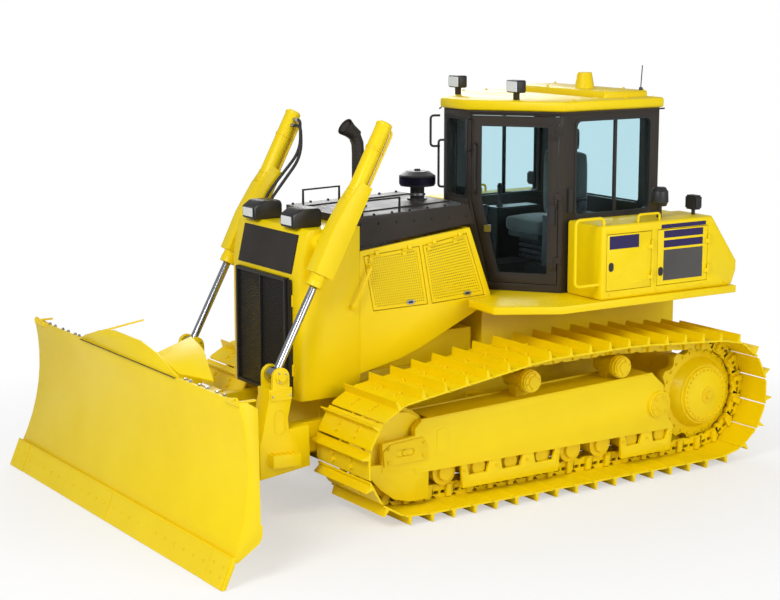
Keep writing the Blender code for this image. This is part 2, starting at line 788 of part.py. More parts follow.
def make_hood():
    outline = [(-0.03, 2.20 + GAP), (-0.03, 2.262), (1.08, 2.300), (1.14, 2.135), (1.075, 2.135), (0.03, 2.02), (0.03, 2.20 + GAP)]
    hood = plate("hood", outline, -0.515, 0.515, "x", BLACK)
    cut(hood, plate("hood_room", [(0.0, 2.20), (1.10, 2.26), (1.10, 1.90), (0.0, 1.90)], -0.485, 0.485))
    for side, sign in SIDES:
        rail = [(sign * 0.46, 0.10, 2.24), (sign * 0.46, 0.10, 2.38), (sign * 0.46, 0.45, 2.39), (sign * 0.46, 0.45, 2.24)]
        join(hood, tube("hood_rail", rail, 0.011))
    for station, seat, radius in (EXHAUST_SEAT, AIR_SEAT):
        join(hood, rod("seat_ring", (0, station, seat - 0.03), (0, station, seat), radius))
    return hood


def make_exhaust():
    station, seat, _ = EXHAUST_SEAT
    bend = ((0.0, 0.0), (0.0, 0.42), (-0.005, 0.50), (-0.03, 0.56), (-0.08, 0.61), (-0.12, 0.64))
    points = [(0, station + back, seat + GAP + rise) for back, rise in bend]
    return tube("exhaust", points, 0.052, BLACK, 3)


def make_precleaner():
    y, seat, _ = AIR_SEAT
    neck = rod("precleaner", (0, y, seat + GAP), (0, y, 2.42), 0.06, BLACK, 16)
    bowl = rod("bowl", (0, y, 2.41), (0, y, 2.50), 0.145, None, 20)
    lid = rod("lid", (0, y, 2.49), (0, y, 2.53), 0.155, None, 20, 0.10)
    return join(neck, bowl, lid)


# Cab
def cab_plan(inset=0.0):
    """Half of the six-sided plan, moved inwards: front, hinge post, rear."""
    edge = Vector((CAB_HALF - CAB_FRONT_HALF, CAB_POST - CAB_FRONT)).normalized()
    lean = math.atan2(edge.x, edge.y)
    back = inset * math.tan(lean / 2)
    return (
        (CAB_FRONT_HALF - inset * (1 - math.sin(lean)) / math.cos(lean), CAB_FRONT + inset),
        (CAB_HALF - inset, CAB_POST + back),
        (CAB_HALF - inset, CAB_REAR - inset),
    )


def cab_ring(inset):
    front, post, rear = cab_plan(inset)
    return [front, post, rear, (-rear[0], rear[1]), (-post[0], post[1]), (-front[0], front[1])]


def door_frame(sign):
    """Matrix of the door's plane: x along the door from its hinge, y out of the cab, z up."""
    post = Vector((sign * CAB_HALF, CAB_POST, 0))
    front = Vector((sign * CAB_FRONT_HALF, CAB_FRONT, 0))
    along = (front - post).normalized()
    out = Vector((-along.y, along.x, 0)) * sign
    made = Matrix.Identity(4)
    for row in range(3):
        made[row][0] = along[row]
        made[row][1] = out[row]
        made[row][3] = post[row]
    return made


DOOR_LENGTH = 0.735
DOOR_START = 0.040
DOOR_LOW = 1.60
DOOR_HIGH = 2.985
DOOR_TAPER = 0.165  # how much shorter the door is at its foot
DOOR_THICK = 0.045


def door_outline(inset):
    """Door outline from its hinge edge, in the door's plane."""
    start = DOOR_START + inset
    end = DOOR_START + DOOR_LENGTH - inset
    return [
        (start, DOOR_LOW + inset),
        (end - DOOR_TAPER, DOOR_LOW + inset),
        (end, 2.30),
        (end, DOOR_HIGH - inset),
        (start, DOOR_HIGH - inset),
    ]


def door_plate(name, outlines, low, high, sign, finish=None):
    """A plate in the door's plane, from low to high out of the cab's face."""
    made = plate(name, outlines, low, high, "y", finish)
    made.data.transform(door_frame(sign))
    if sign < 0:
        made.data.flip_normals()
    return made


DOOR_HINGES = (1.72, 2.25, 2.80)


FRONT_HOLE = CAB_FRONT_HALF - 0.045
REAR_HOLE = CAB_HALF - 0.18
# name, axis it is cut across, station of the wall's outer face, way out, left edge, right edge, lower edge
CAB_WINDOWS = (
    ("glass_left", "x", CAB_HALF, 1, CAB_POST + 0.135, CAB_REAR - 0.09, 2.17),
    ("glass_right", "x", -CAB_HALF, -1, CAB_POST + 0.135, CAB_REAR - 0.09, 2.17),
    ("glass_front", "y", CAB_FRONT, -1, -FRONT_HOLE, FRONT_HOLE, 2.30),
    ("glass_rear", "y", CAB_REAR, 1, -REAR_HOLE, REAR_HOLE, 2.20),
)
WINDOW_TOP = CAB_TOP - 0.075


def window_outline(left, right, low, inset):
    left, right = left + inset, right - inset
    low, high = low + inset, WINDOW_TOP - inset
    return rounded([(left, low), (right, low), (right, high), (left, high)], 0.045)


def make_cab():
    cab = plate("cab_frame", cab_ring(0), DECK, CAB_TOP, "z", DARK)
    cut(cab, plate("cab_room", cab_ring(CAB_WALL), DECK + 0.05, CAB_TOP + 0.1, "z"))
    for side, sign in SIDES:
        cut(cab, door_plate("door_hole", door_outline(-DOOR_GAP), -0.2, 0.2, sign))
    for name, across, face, out, left, right, low in CAB_WINDOWS:
        hole = window_outline(left, right, low, 0)
        cut(cab, plate(name + "_hole", hole, face - 0.1, face + 0.1, across))
    return cab


def make_cab_glass():
    for name, across, face, out, left, right, low in CAB_WINDOWS:
        ends = sorted((face - out * CAB_WALL / 2, face - out * (CAB_WALL / 2 + GLASS_THICK)))
        plate(name, window_outline(left, right, low, PANE_GAP), *ends, across, GLASS)


HINGE_IN = 0.012  # hinge line from the door's edge


def make_cab_door(cab, side, sign):
    rail = 0.075
    door = door_plate("cab_door_" + side, [door_outline(0), door_outline(rail)], -DOOR_THICK, 0.0, sign, DARK)
    depth = -DOOR_THICK * 0.6
    outline = door_outline(rail + PANE_GAP)
    pane = door_plate("cab_door_glass_" + side, outline, depth, depth + GLASS_THICK, sign, GLASS)
    line = door_frame(sign) @ Vector((DOOR_START + HINGE_IN, HINGE_OUT, 0))
    turn = door_frame(sign).to_3x3()
    along = turn @ Vector((1, 0, 0))
    out = turn @ Vector((0, 1, 0))
    for z in DOOR_HINGES:
        hinge(cab, door, (line.x, line.y, z), (0, 0, 1), 0.055, along * -0.050, along * 0.050, out)
    axis_empty("cab_door_hinge_" + side, (line.x, line.y, DOOR_LOW), [door, pane])


def make_roof():
    roof = plate("cab_roof", cab_ring(-ROOF_OVER), CAB_TOP + GAP, CAB_TOP + ROOF_THICK, "z", YELLOW)
    bevel(roof, 0.02, 2, 60)
    half = CAB_HALF - 0.16
    low = (-half, CAB_REAR - 0.46, CAB_TOP + 0.05)
    cover = bevel(box("roof_cover", low, (half, CAB_REAR + 0.01, CAB_TOP + COVER_HIGH)), 0.015)
    place = (0.10, CAB_REAR - 0.25)
    dome = rod("dome", (*place, CAB_TOP + 0.1), (*place, CAB_TOP + 0.27), 0.095, None, 20, 0.062)
    return join(roof, cover, dome)


def make_seat():
    seat = box("seat", (-0.25, 2.02, 1.90), (0.25, 2.50, 2.03), SEAT)
    back = box("seat_back", (-0.25, 2.42, 1.98), (0.25, 2.55, 2.62))
    head = box("headrest", (-0.13, 2.44, 2.60), (0.13, 2.54, 2.82))
    base = box("seat_base", (-0.20, 2.08, DECK + 0.05 + GAP), (0.20, 2.45, 1.92))
    return join(seat, back, head, base)


def make_console():
    left = box("console", (0.32, 2.00, DECK + 0.05 + GAP), (0.52, 2.50, 2.12), BLACK)
    dash = box("dash", (-0.15, CAB_FRONT + 0.09, DECK + 0.05 + GAP), (0.15, CAB_FRONT + 0.22, 2.22))
    tunnel = box("tunnel", (-0.14, CAB_FRONT + 0.17, DECK + 0.053), (0.14, 2.04, 1.70))
    bridge = box("bridge", (-0.13, 1.95, DECK + 0.055), (0.45, 2.03, 1.69))
    return join(left, bridge, tunnel, dash)


# Fenders and boxes
def make_platform():
    half = [
        (BAY_HALF + 0.01, 1.31),
        (0.62, 1.02),
        (1.02, 0.98),
        (FENDER_OUT, 1.45),
        (FENDER_OUT, BOX_REAR - 0.03),
        (CAB_HALF, BOX_REAR + 0.04),
    ]
    plan = mirrored(half)
    return plate("platform", plan, DECK - FENDER_THICK, DECK - GAP, "z", YELLOW)


BOX_SIDE = (
    (BOX_FRONT, DECK),
    (BOX_REAR - 0.05, DECK),
    (BOX_REAR, DECK + 0.13),
    (BOX_REAR, DECK + 0.21),
    (BOX_REAR - 0.29, BOX_TOP),
    (BOX_FRONT, BOX_TOP),
)


def make_left_box():
    left = plate("left_box", BOX_SIDE, CAB_HALF + 0.02, BOX_OUT, "x", YELLOW)
    bevel(left, 0.025, 2, 60)
    for _, low, high in BOX_ROOMS:
        cut(left, box("box_room", (BOX_OUT - 0.25, low, DECK + BOX_LEDGE), (BOX_OUT + 0.1, high, BOX_TOP - BOX_LEDGE)))
    front = BOX_FRONT - 0.24
    rail = [(BOX_FRONT + 0.033, 1.66), (front, 1.66), (front, 2.20), (BOX_FRONT + 0.05, 2.20), (BOX_FRONT + 0.05, 2.115)]
    return join(left, tube("box_rail", [(BOX_OUT - 0.04, *point) for point in bent(rail, 0.04)], 0.014))


def make_box_doors(left):
    for name, low, high in BOX_ROOMS:
        bottom = (BOX_OUT - BOX_DOOR_THICK, low + DOOR_GAP, DECK + BOX_LEDGE + DOOR_GAP)
        door = box(name, bottom, (BOX_OUT, high - DOOR_GAP, BOX_TOP - BOX_LEDGE - DOOR_GAP), YELLOW)
        line = (BOX_OUT + HINGE_OUT, high - DOOR_GAP / 2)
        for z in (DECK + 0.14, BOX_TOP - 0.22):
            hinge(left, door, (*line, z), (0, 0, 1), 0.035, (0, 0.028, 0), (0, -0.040, 0), (1, 0, 0))
        axis_empty(name + "_hinge", (*line, DECK), [door])


def make_right_tank():
    tank = plate("right_tank", BOX_SIDE, -BOX_OUT, -CAB_HALF - 0.02, "x", YELLOW)
    bevel(tank, 0.025, 2, 60)
    place = (0.22 - BOX_OUT, BOX_FRONT + 0.43)
    cap = rod("filler", (*place, BOX_TOP - 0.02), (*place, BOX_TOP + 0.06), 0.05, None, 14)
    return join(tank, cap)


def make_fuel_tank():
    tank = box("fuel_tank", (-CAB_HALF - 0.015, CAB_REAR + 0.02, DECK), (CAB_HALF + 0.015, 3.32, 2.08), YELLOW)
    return bevel(tank, 0.03, 2)


# Lamps
def make_lamps():
    shade = [(-0.50, 0), (-0.50, 0.10), (-0.43, 0.148), (-0.26, 0.148), (-0.24, 0.12), (-0.24, 0)]
    for side, sign in SIDES:
        ends = sorted((sign * 0.205, sign * 0.415))
        profile = [(y, GUARD_TOP + GAP + z) for y, z in shade]
        bevel(plate("front_lamp_" + side, profile, *ends, "x", BLACK), 0.012, 1, 30)
        middle = door_frame(sign) @ Vector((0.42, -0.09, CAB_TOP))
        x, y, top = middle
        low = (x - 0.085, y - 0.05, top + 0.145)
        lamp = bevel(box("roof_lamp_" + side, low, (x + 0.085, y + 0.04, top + 0.25), BLACK), 0.014, 2)
        foot = box("lamp_foot", (x - 0.02, y - 0.02, top + ROOF_THICK + GAP), (x + 0.02, y + 0.02, top + 0.16))
        join(lamp, foot)
    place = (BOX_OUT - 0.17, BOX_FRONT + 0.75)
    beacon = rod("beacon", (*place, BOX_TOP + GAP), (*place, BOX_TOP + 0.11), 0.022, CLEAR)
    for low, high, radius, end_radius in ((0.10, 0.135, 0.060, 0.072), (0.13, 0.225, 0.076, 0.072), (0.22, 0.255, 0.072, 0.050)):
        join(beacon, rod("lens", (*place, BOX_TOP + low), (*place, BOX_TOP + high), radius, None, 16, end_radius))


def make_grille():
    """Grille door: a frame with a centre bar and two cross bars, hinged on its left edge."""
    front = GUARD_FRONT - GAP
    low, high = GUARD_BOTTOM + 0.01, GRILLE_TOP
    outer = [(-GRILLE_HALF, low), (GRILLE_HALF, low), (GRILLE_HALF, high), (-GRILLE_HALF, high)]
    holes = []
    rows = 3
    frame, bar = 0.035, 0.012
    step = (high - low - 2 * frame + bar) / rows
    for column in (-1, 1):
        for row in range(rows):
            z = low + frame + row * step
            far, near = column * (GRILLE_HALF - frame), column * bar
            holes.append([(far, z), (near, z), (near, z + step - bar), (far, z + step - bar)])
    door = plate("grille_door", [outer] + holes, front - GRILLE_THICK, front, "y", BLACK)
    axis_empty("grille_hinge", (GRILLE_HALF, front - GRILLE_THICK, 1.3), [door])
    return door


# Push frame, yoke and blade
TOWER_TOP = 1.055
# station from the lift eye, height
TOWER = (
    (-0.190, 0.365),
    (0.245, 0.420),
    (0.235, 0.740),
    (0.060, 0.730),
    (0.052, 0.820),
    (0.092, 0.990),
    (0.092, TOWER_TOP),
    (-0.108, TOWER_TOP),
    (-0.105, 1.000),
    (-0.170, 0.700),
    (-0.190, 0.640),
)


def make_push_frame():
    y, z = LIFT_PIN
    eye_y, eye_z = LIFT_EYE
    front = eye_y - 0.113
    arm = [
        (y - 0.02, ARM_LOW),
        (y + 0.06, ARM_LOW + 0.02),
        (y + 0.10, z),
        (y + 0.06, ARM_HIGH - 0.04),
        (-0.10, ARM_HIGH),
        (front, ARM_HIGH),
        (front, ARM_LOW),
    ]
    low = (-ARM_OUT - 0.004, front - 0.03, ARM_LOW - 0.01)
    frame = box("push_frame", low, (ARM_OUT + 0.004, front + 0.19, ARM_HIGH + 0.01), YELLOW)
    for side, sign in SIDES:
        low, high = sorted((sign * ARM_IN, sign * ARM_OUT))
        join(frame, plate("arm", arm, low, high))
        ends = sorted((sign * (ARM_OUT - 0.015), sign * (LIFT_X + EAR_IN + EAR_THICK + 0.004)))
        join(frame, plate("tower", [(eye_y + y, z) for y, z in TOWER], *ends))
        step_box = [(-0.115, 0.465), (-0.115, 0.560), (0.125, 0.545), (0.125, 0.450)]
        for inner, outer in ((EAR_IN, EAR_IN + EAR_THICK), (-EAR_IN - EAR_THICK, -EAR_IN)):
            ends = sorted((sign * (LIFT_X + inner), sign * (LIFT_X + outer)))
            ear = [(eye_y + 0.072, TOWER_TOP - 0.01)]
            for turn in range(9):
                angle = math.pi * turn / 8
                ear.append((eye_y + 0.072 * math.cos(angle), eye_z + 0.072 * math.sin(angle)))
            ear.append((eye_y - 0.072, TOWER_TOP - 0.01))
            join(frame, plate("ear", ear, *ends))
        face = sign * (LIFT_X + EAR_IN + EAR_THICK)
        ends = sorted((face - sign * 0.03, face + sign * 0.075))
        join(frame, plate("tower_step", [(eye_y + y, z) for y, z in step_box], *ends))
        base_x, base_y = sign * ANGLE_BASE[0], ANGLE_BASE[1]
        low = (base_x - 0.05, base_y - 0.10, ARM_LOW - 0.022)
        join(frame, box("angle_lug", low, (base_x + 0.05, base_y + 0.036, ARM_LOW + 0.030)))
        join(frame, rod("angle_pin", (base_x, base_y, ANGLE_Z - 0.02), (base_x, base_y, ARM_LOW - 0.010), 0.02))
    for low_z, high_z in ((0.40, 0.44), (0.62, 0.66)):
        tip = ANGLE_PIN_Y - 0.09
        nose = mirrored([(0.16, front + 0.15), (0.12, ANGLE_PIN_Y), (0.08, tip)])
        join(frame, plate("nose", nose, low_z, high_z, "z"))
    join(frame, box("nose_block", (-0.15, front - 0.022, 0.41), (0.15, front + 0.14, 0.65)))
    cut(frame, rod("nose_bore", (0, ANGLE_PIN_Y, 0.3), (0, ANGLE_PIN_Y, 0.8), 0.045 + RUN))
    cut(frame, rod("hinge_bore", (-0.8, y, z), (0.8, y, z), 0.050 + RUN))
    return frame


def make_yoke():
    yoke = rod("blade_yoke", (0, ANGLE_PIN_Y, 0.445), (0, ANGLE_PIN_Y, 0.615), 0.085, YELLOW)
    pin = rod("yoke_pin", (0, ANGLE_PIN_Y, 0.37), (0, ANGLE_PIN_Y, 0.69), 0.045)
    back = BLADE_BACK + 0.008
    web = box("yoke_web", (-0.06, back, 0.445), (0.06, ANGLE_PIN_Y, 0.615))
    beam = box("yoke_beam", (-0.62, back + 0.001, 0.47), (0.62, back + 0.122, 0.64))
    join(yoke, pin, web, beam)
    for side, sign in SIDES:
        x, y = sign * ANGLE_EYE[0], ANGLE_EYE[1]
        for low_z, high_z in ((ANGLE_Z - 0.085, ANGLE_Z - 0.060), (ANGLE_Z + 0.060, ANGLE_Z + 0.085)):
            join(yoke, box("yoke_ear", (x - 0.05, back + 0.002, low_z), (x + 0.05, y + 0.05, high_z)))
        join(yoke, box("yoke_ear_root", (x - 0.049, back + 0.003, ANGLE_Z - 0.084), (x + 0.049, back + 0.012, 0.50)))
    tilt_x, tilt_y, tilt_z = TILT_BASE
    tower = box("yoke_tower", (tilt_x - 0.06, back, 0.60), (tilt_x + 0.06, back + 0.102, tilt_z + 0.06))
    tilt_pin = rod("tilt_base_pin", (tilt_x, back + 0.062, tilt_z), (tilt_x, tilt_y - 0.05, tilt_z), 0.02)
    roll_pin = rod("roll_pin", (0, back + 0.062, TILT_Z), (0, BLADE_BACK - 0.09, TILT_Z), 0.05)
    join(yoke, tower, tilt_pin, roll_pin)
    return yoke


def blade_face(shift=0.0, steps=8):
    """The mouldboard's concave face as an arc from its lower end to its top, moved back by shift."""
    low = Vector(BLADE_LOW)
    high = Vector((BLADE_TOP_Y, BLADE_TOP))
    chord = high - low
    radius = (chord.length ** 2 / 4 + BLADE_SAG ** 2) / (2 * BLADE_SAG)
    normal = Vector((chord.y, -chord.x)).normalized()
    centre = (low + high) / 2 - normal * (radius - BLADE_SAG)
    start = low - centre
    sweep = start.angle_signed(high - centre)
    made = []
    for n in range(steps + 1):
        point = centre + Matrix.Rotation(-sweep * n / steps, 2) @ start
        made.append((point.x + shift, point.y))
    return made


def half_width(height):
    """Half of the blade's width at a height: its ends lean inwards."""
    share = (height - BLADE_LOW[1]) / (BLADE_TOP - BLADE_LOW[1])
    return BLADE_HALF_LOW + share * (BLADE_HALF_TOP - BLADE_HALF_LOW)


def blade_trims(inset, front, back):
    """Cutters that leave the blade's tapering width, less an inset at each end."""
    low = BLADE_LOW[1] - 0.1
    high = BLADE_TOP + 0.1
    far = max(BLADE_HALF_LOW, BLADE_HALF_TOP) + 0.2
    made = []
    for sign in (1, -1):
        near = [(sign * (half_width(z) - inset), z) for z in (low, high)]
        made.append(plate("end_trim", near + [(sign * far, high), (sign * far, low)], front, back, "y"))
    return made


def make_blade():
    low_y, low_z = BLADE_LOW
    top = BLADE_TOP
    wide = max(BLADE_HALF_LOW, BLADE_HALF_TOP) + 0.05
    end_back = [
        (BLADE_TOP_Y + 0.145, top - 0.055),
        (BLADE_TOP_Y + 0.135, top - 0.296),
        (BLADE_TOP_Y + 0.113, 0.405),
        (BLADE_TOP_Y + 0.127, 0.398),
        (BLADE_TOP_Y + 0.120, 0.324),
        (BLADE_TOP_Y + 0.097, 0.280),
        (low_y + BOARD_THICK + 0.005, low_z - 0.015),
    ]
    front = -BLADE_REACH - 0.1
    blade = plate("blade", blade_face() + [(BLADE_TOP_Y + 0.06, top)] + end_back, -wide, wide, "x", YELLOW)
    cut(blade, *blade_trims(0, front, BLADE_BACK + 0.1))
    back_line = blade_face(BOARD_THICK)
    room = plate("blade_room", back_line + [(BLADE_BACK, top + 0.05), (BLADE_BACK, 0.0), (low_y + BOARD_THICK, 0.0)], -wide, wide)
    cut(room, *blade_trims(END_THICK, front - 0.1, BLADE_BACK + 0.2))
    cut(blade, room)
    for name, low, high, half in (
        ("top_beam", (BLADE_TOP_Y + 0.045, top - 0.200), (BLADE_TOP_Y + 0.125, top - 0.100), half_width(top) - 0.01),
        ("middle_beam", (BLADE_TOP_Y + 0.055, 0.66), (BLADE_TOP_Y + 0.128, 0.74), half_width(0.74) - 0.01),
    ):
        join(blade, box(name, (-half, *low), (half, *high)))
    inside = [point for point in blade_face(BOARD_THICK / 2) if 0.25 < point[1] < 0.72]
    join(blade, plate("main_beam", inside + [(BLADE_BACK, 0.655), (BLADE_BACK, 0.30)], -0.95, 0.95))
    for x in (-1.40, -0.62, 0.62, 1.40):
        rib = blade_face(BOARD_THICK / 2)[1:] + [(BLADE_TOP_Y + 0.12, top - 0.05), (BLADE_TOP_Y + 0.12, 0.25)]
        join(blade, plate("rib", rib, x - 0.012, x + 0.012))
    _, tilt_y, tilt_z = TILT_BASE
    low = (TILT_EYE_X - 0.05, BLADE_TOP_Y + 0.07, tilt_z - 0.158)
    join(blade, box("tilt_bracket", low, (TILT_EYE_X + 0.05, tilt_y + 0.07, tilt_z + 0.07)))
    low = (TILT_EYE_X - 0.1, tilt_y - 0.045, tilt_z - 0.07)
    cut(blade, box("tilt_slot", low, (TILT_EYE_X + 0.1, tilt_y + 0.045, tilt_z + 0.2)))
    return cut(blade, rod("roll_bore", (0, BLADE_BACK + 0.1, TILT_Z), (0, BLADE_BACK - 0.095, TILT_Z), 0.05 + RUN))


def make_cutting_edge():
    """A flat edge that carries the mouldboard's line on to the ground."""
    low = Vector(BLADE_LOW)
    tip = Vector((-BLADE_REACH, EDGE_CLEAR))
    along = (low - tip).normalized()
    back = Vector((along.y, -along.x)) * EDGE_THICK
    start = low - Vector((GAP * 2, 0))
    lap = (Vector(blade_face()[1]) - low).normalized() * 0.03
    profile = [tip, start + lap - back, start + lap, start, start - Vector((0, 0.02)), tip + back + along * 0.016]
    half = half_width(0.0) + EDGE_OVER
    return plate("cutting_edge", [tuple(p) for p in profile], -half, half, "x", YELLOW)


def flat_plate(name, corners, thick, finish=None):
    """A plate of one thickness through corners in space that lie in one plane, or nearly."""
    start = Vector(corners[0])
    across = (Vector(corners[-1]) - start).normalized()
    normal = across.cross(Vector(corners[1]) - start).normalized()
    along = normal.cross(across)
    outline = [((Vector(c) - start).dot(across), (Vector(c) - start).dot(along)) for c in corners]
    made = plate(name, outline, -thick / 2, thick / 2, "z", finish)
    made.data.transform(basis(start, across, along, normal))
    return made


def make_rock_guard():
    """Spill guard: a folded panel on the mouldboard's top edge, with a sloping wing behind each end."""
    low = BLADE_TOP + GAP
    front = BLADE_TOP_Y + 0.006
    half = [(0.86, low), (0.86, low + 0.012), (0.51, low + 0.123), (0.245, low + 0.168)]
    guard = plate("rock_guard", mirrored(half), front, front + 0.016, "y", YELLOW)
    wing = (
        (0.50, front + 0.010, low + 0.112),
        (0.41, front + 0.345, low + 0.187),
        (0.62, front + 0.339, low + 0.108),
        (1.05, front + 0.199, low - 0.047),
        (0.845, front + 0.024, low + 0.020),
    )
    for _, sign in SIDES:
        join(guard, flat_plate("wing", [(sign * x, y, z) for x, y, z in wing], 0.014))
    return guard


# Cylinders
def trunnion():
    share = (TRUNNION_Z - LIFT_EYE[1]) / (LIFT_TOP[1] - LIFT_EYE[1])
    return LIFT_EYE[0] + share * (LIFT_TOP[0] - LIFT_EYE[0]), TRUNNION_Z


def make_lift_cylinder(side, sign):
    x = sign * LIFT_X
    eye = Vector((x, *LIFT_EYE))
    top = Vector((x, *LIFT_TOP))
    along = (top - eye).normalized()
    pivot = Vector((x, *trunnion()))
    foot = pivot - along * 0.34
    barrel = rod("lift_barrel_" + side, foot, top, LIFT_TUBE_R, YELLOW)
    across = Vector((0, along.z, -along.y))
    sleeve = [(-0.24, -0.075), (0.08, -0.085), (0.35, -0.060), (0.54, -0.020), (0.53, 0.090), (-0.24, 0.090)]
    corners = [pivot + along * run + across * out for run, out in sleeve]
    join(barrel, plate("hose_guard", [(c.y, c.z) for c in corners], x - 0.074, x + 0.074))
    cut(barrel, rod("bore", foot - along * 0.05, top - along * 0.03, LIFT_ROD_R + RUN))
    face = (x - sign * TRUNNION_OUT, pivot.y, pivot.z)
    join(barrel, rod("trunnion_pin", face, (x - sign * 0.05, pivot.y, pivot.z), 0.05))
    bar = rod("lift_rod_" + side, eye, pivot + along * 0.06, LIFT_ROD_R, STEEL)
    half = EAR_IN - GAP
    ball = rod("eye", (x - half, eye.y, eye.z), (x + half, eye.y, eye.z), 0.060)
    join(bar, ball)
    axis_empty("lift_trunnion_" + side, tuple(pivot), [barrel])
    axis_empty("lift_rod_axis_" + side, tuple(eye), [bar])
    return barrel, bar


def make_angle_cylinder(side, sign):
    base = Vector((sign * ANGLE_BASE[0], ANGLE_BASE[1], ANGLE_Z))
    eye = Vector((sign * ANGLE_EYE[0], ANGLE_EYE[1], ANGLE_Z))
    along = (eye - base).normalized()
    barrel = rod("angle_barrel_" + side, base, base + along * 0.465, ANGLE_TUBE_R, YELLOW)
    end = rod("barrel_eye", base - Vector((0, 0, 0.035)), base + Vector((0, 0, 0.035)), 0.05)
    join(barrel, end)
    cut(barrel, rod("bore", base + along * 0.055, base + along * 0.5, ANGLE_ROD_R + RUN))
    cut(barrel, rod("pin_bore", base - Vector((0, 0, 0.1)), base + Vector((0, 0, 0.1)), 0.02 + RUN))
    bar = rod("angle_rod_" + side, base + along * 0.235, eye, ANGLE_ROD_R, STEEL)
    join(bar, rod("rod_eye", eye - Vector((0, 0, 0.035)), eye + Vector((0, 0, 0.035)), 0.04))
    axis_empty("angle_base_" + side, tuple(base), [barrel])
    axis_empty("angle_rod_axis_" + side, tuple(eye), [bar])
    return barrel, bar


def make_tilt_cylinder():
    base = Vector(TILT_BASE)
    y, z = base.y, base.z
    eye = Vector((TILT_EYE_X, y, z))
    barrel = rod("tilt_barrel", base, base + Vector((0.55, 0, 0)), TILT_TUBE_R, YELLOW)
    join(barrel, rod("tilt_base", (base.x, y - 0.03, z), (base.x, y + 0.03, z), 0.05))
    cut(barrel, rod("bore", base + Vector((0.06, 0, 0)), base + Vector((0.7, 0, 0)), TILT_ROD_R + RUN))
    cut(barrel, rod("pin_bore", base - Vector((0, 0.1, 0)), base + Vector((0, 0.1, 0)), 0.02 + RUN))
    bar = rod("tilt_rod", base + Vector((0.30, 0, 0)), eye, TILT_ROD_R, STEEL)
    join(bar, rod("tilt_eye", (eye.x, y - 0.03, z), (eye.x, y + 0.03, z), 0.035))
    axis_empty("tilt_base_axis", tuple(base), [barrel])
    axis_empty("tilt_rod_axis", tuple(eye), [bar])
    return barrel, bar


def build():
    for side, sign in SIDES:
        make_track(side, sign)
        make_idler(side, sign)
        make_sprocket(side, sign)
        make_track_frame(side, sign)
        make_lift_cylinder(side, sign)
        make_angle_cylinder(side, sign)
    make_hull()
    make_guard()
    bay = make_bay()
    make_engine()
    make_hood()
    make_exhaust()
    make_precleaner()
    cab = make_cab()
    for side, sign in SIDES:
        make_engine_doors(bay, side, sign)
        make_cab_door(cab, side, sign)
    make_cab_glass()
    make_roof()
    make_seat()
    make_console()
    make_platform()
    left = make_left_box()
    make_box_doors(left)
    make_right_tank()
    make_fuel_tank()
    make_lamps()
    make_grille()
    frame = make_push_frame()
    yoke = make_yoke()
    blade = make_blade()
    edge = make_cutting_edge()
    guard = make_rock_guard()
    make_tilt_cylinder()
    axis_empty("lift_hinge", (0, *LIFT_PIN), [frame])
    axis_empty("angle_hinge", (0, ANGLE_PIN_Y, 0.53), [yoke])
    axis_empty("tilt_hinge", (0, BLADE_BACK, TILT_Z), [blade, edge, guard])


build()
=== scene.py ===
# %% [markdown]
# A bulldozer on wide tracks, dressed for a studio picture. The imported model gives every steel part
# at its real place and size. This script adds what the eye expects on a new machine: paint, bolts,
# shoes, perforated doors, hoses, glass and lamps. It starts by loading that model as a fixed frame.

# %% Load the machine
import json
import math

import bmesh
import bpy
from mathutils import Matrix, Vector

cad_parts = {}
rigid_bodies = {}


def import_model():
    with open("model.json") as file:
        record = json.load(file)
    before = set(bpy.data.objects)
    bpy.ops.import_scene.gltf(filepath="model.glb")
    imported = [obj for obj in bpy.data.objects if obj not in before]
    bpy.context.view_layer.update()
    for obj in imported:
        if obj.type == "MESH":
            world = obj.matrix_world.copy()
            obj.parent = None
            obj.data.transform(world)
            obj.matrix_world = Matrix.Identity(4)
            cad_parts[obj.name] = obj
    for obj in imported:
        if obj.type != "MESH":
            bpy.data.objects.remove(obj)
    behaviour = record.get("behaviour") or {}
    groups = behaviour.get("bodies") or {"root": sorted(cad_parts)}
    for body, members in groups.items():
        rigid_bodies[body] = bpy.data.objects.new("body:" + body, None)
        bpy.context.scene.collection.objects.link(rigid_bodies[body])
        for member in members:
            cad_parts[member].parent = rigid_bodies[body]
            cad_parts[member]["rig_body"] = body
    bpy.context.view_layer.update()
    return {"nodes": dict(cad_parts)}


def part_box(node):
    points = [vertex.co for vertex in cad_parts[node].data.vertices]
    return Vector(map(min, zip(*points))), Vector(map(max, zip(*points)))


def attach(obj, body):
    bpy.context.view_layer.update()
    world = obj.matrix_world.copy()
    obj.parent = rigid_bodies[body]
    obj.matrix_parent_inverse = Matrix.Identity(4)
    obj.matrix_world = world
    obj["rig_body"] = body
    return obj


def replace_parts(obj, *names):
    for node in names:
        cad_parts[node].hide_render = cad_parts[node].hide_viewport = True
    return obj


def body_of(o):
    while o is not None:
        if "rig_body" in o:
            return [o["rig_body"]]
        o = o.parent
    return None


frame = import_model()

# %% [markdown]
# Builders of machines count stations from one axle. Here every station is counted from the idler
# axle, so the numbers stay short, and one shift at the end takes each piece to its place. The
# cutting edge tells where that axle is, because it reaches a known distance in front of it.

# %% Stations
EDGE_REACH = 1.966
DATUM = Vector((0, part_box("cutting_edge")[0].y + EDGE_REACH, 0))
SIDES = (("left", 1), ("right", -1))
print("idler axle stands at y =", round(DATUM.y, 4))


# %% [markdown]
# Materials come next. All of them start from the same shader, and each adds the fine marks that its
# real finish has. Their patterns read Object coordinates, so they stay on the metal when it moves.

# %% A start for each finish
def set_inputs(node, **values):
    """Sets a node's inputs by name, with an underscore for each space, and returns the node."""
    for socket, value in values.items():
        node.inputs[socket.replace("_", " ")].default_value = value
    return node


def new_node(tree, kind, **values):
    return set_inputs(tree.nodes.new(kind), **values)


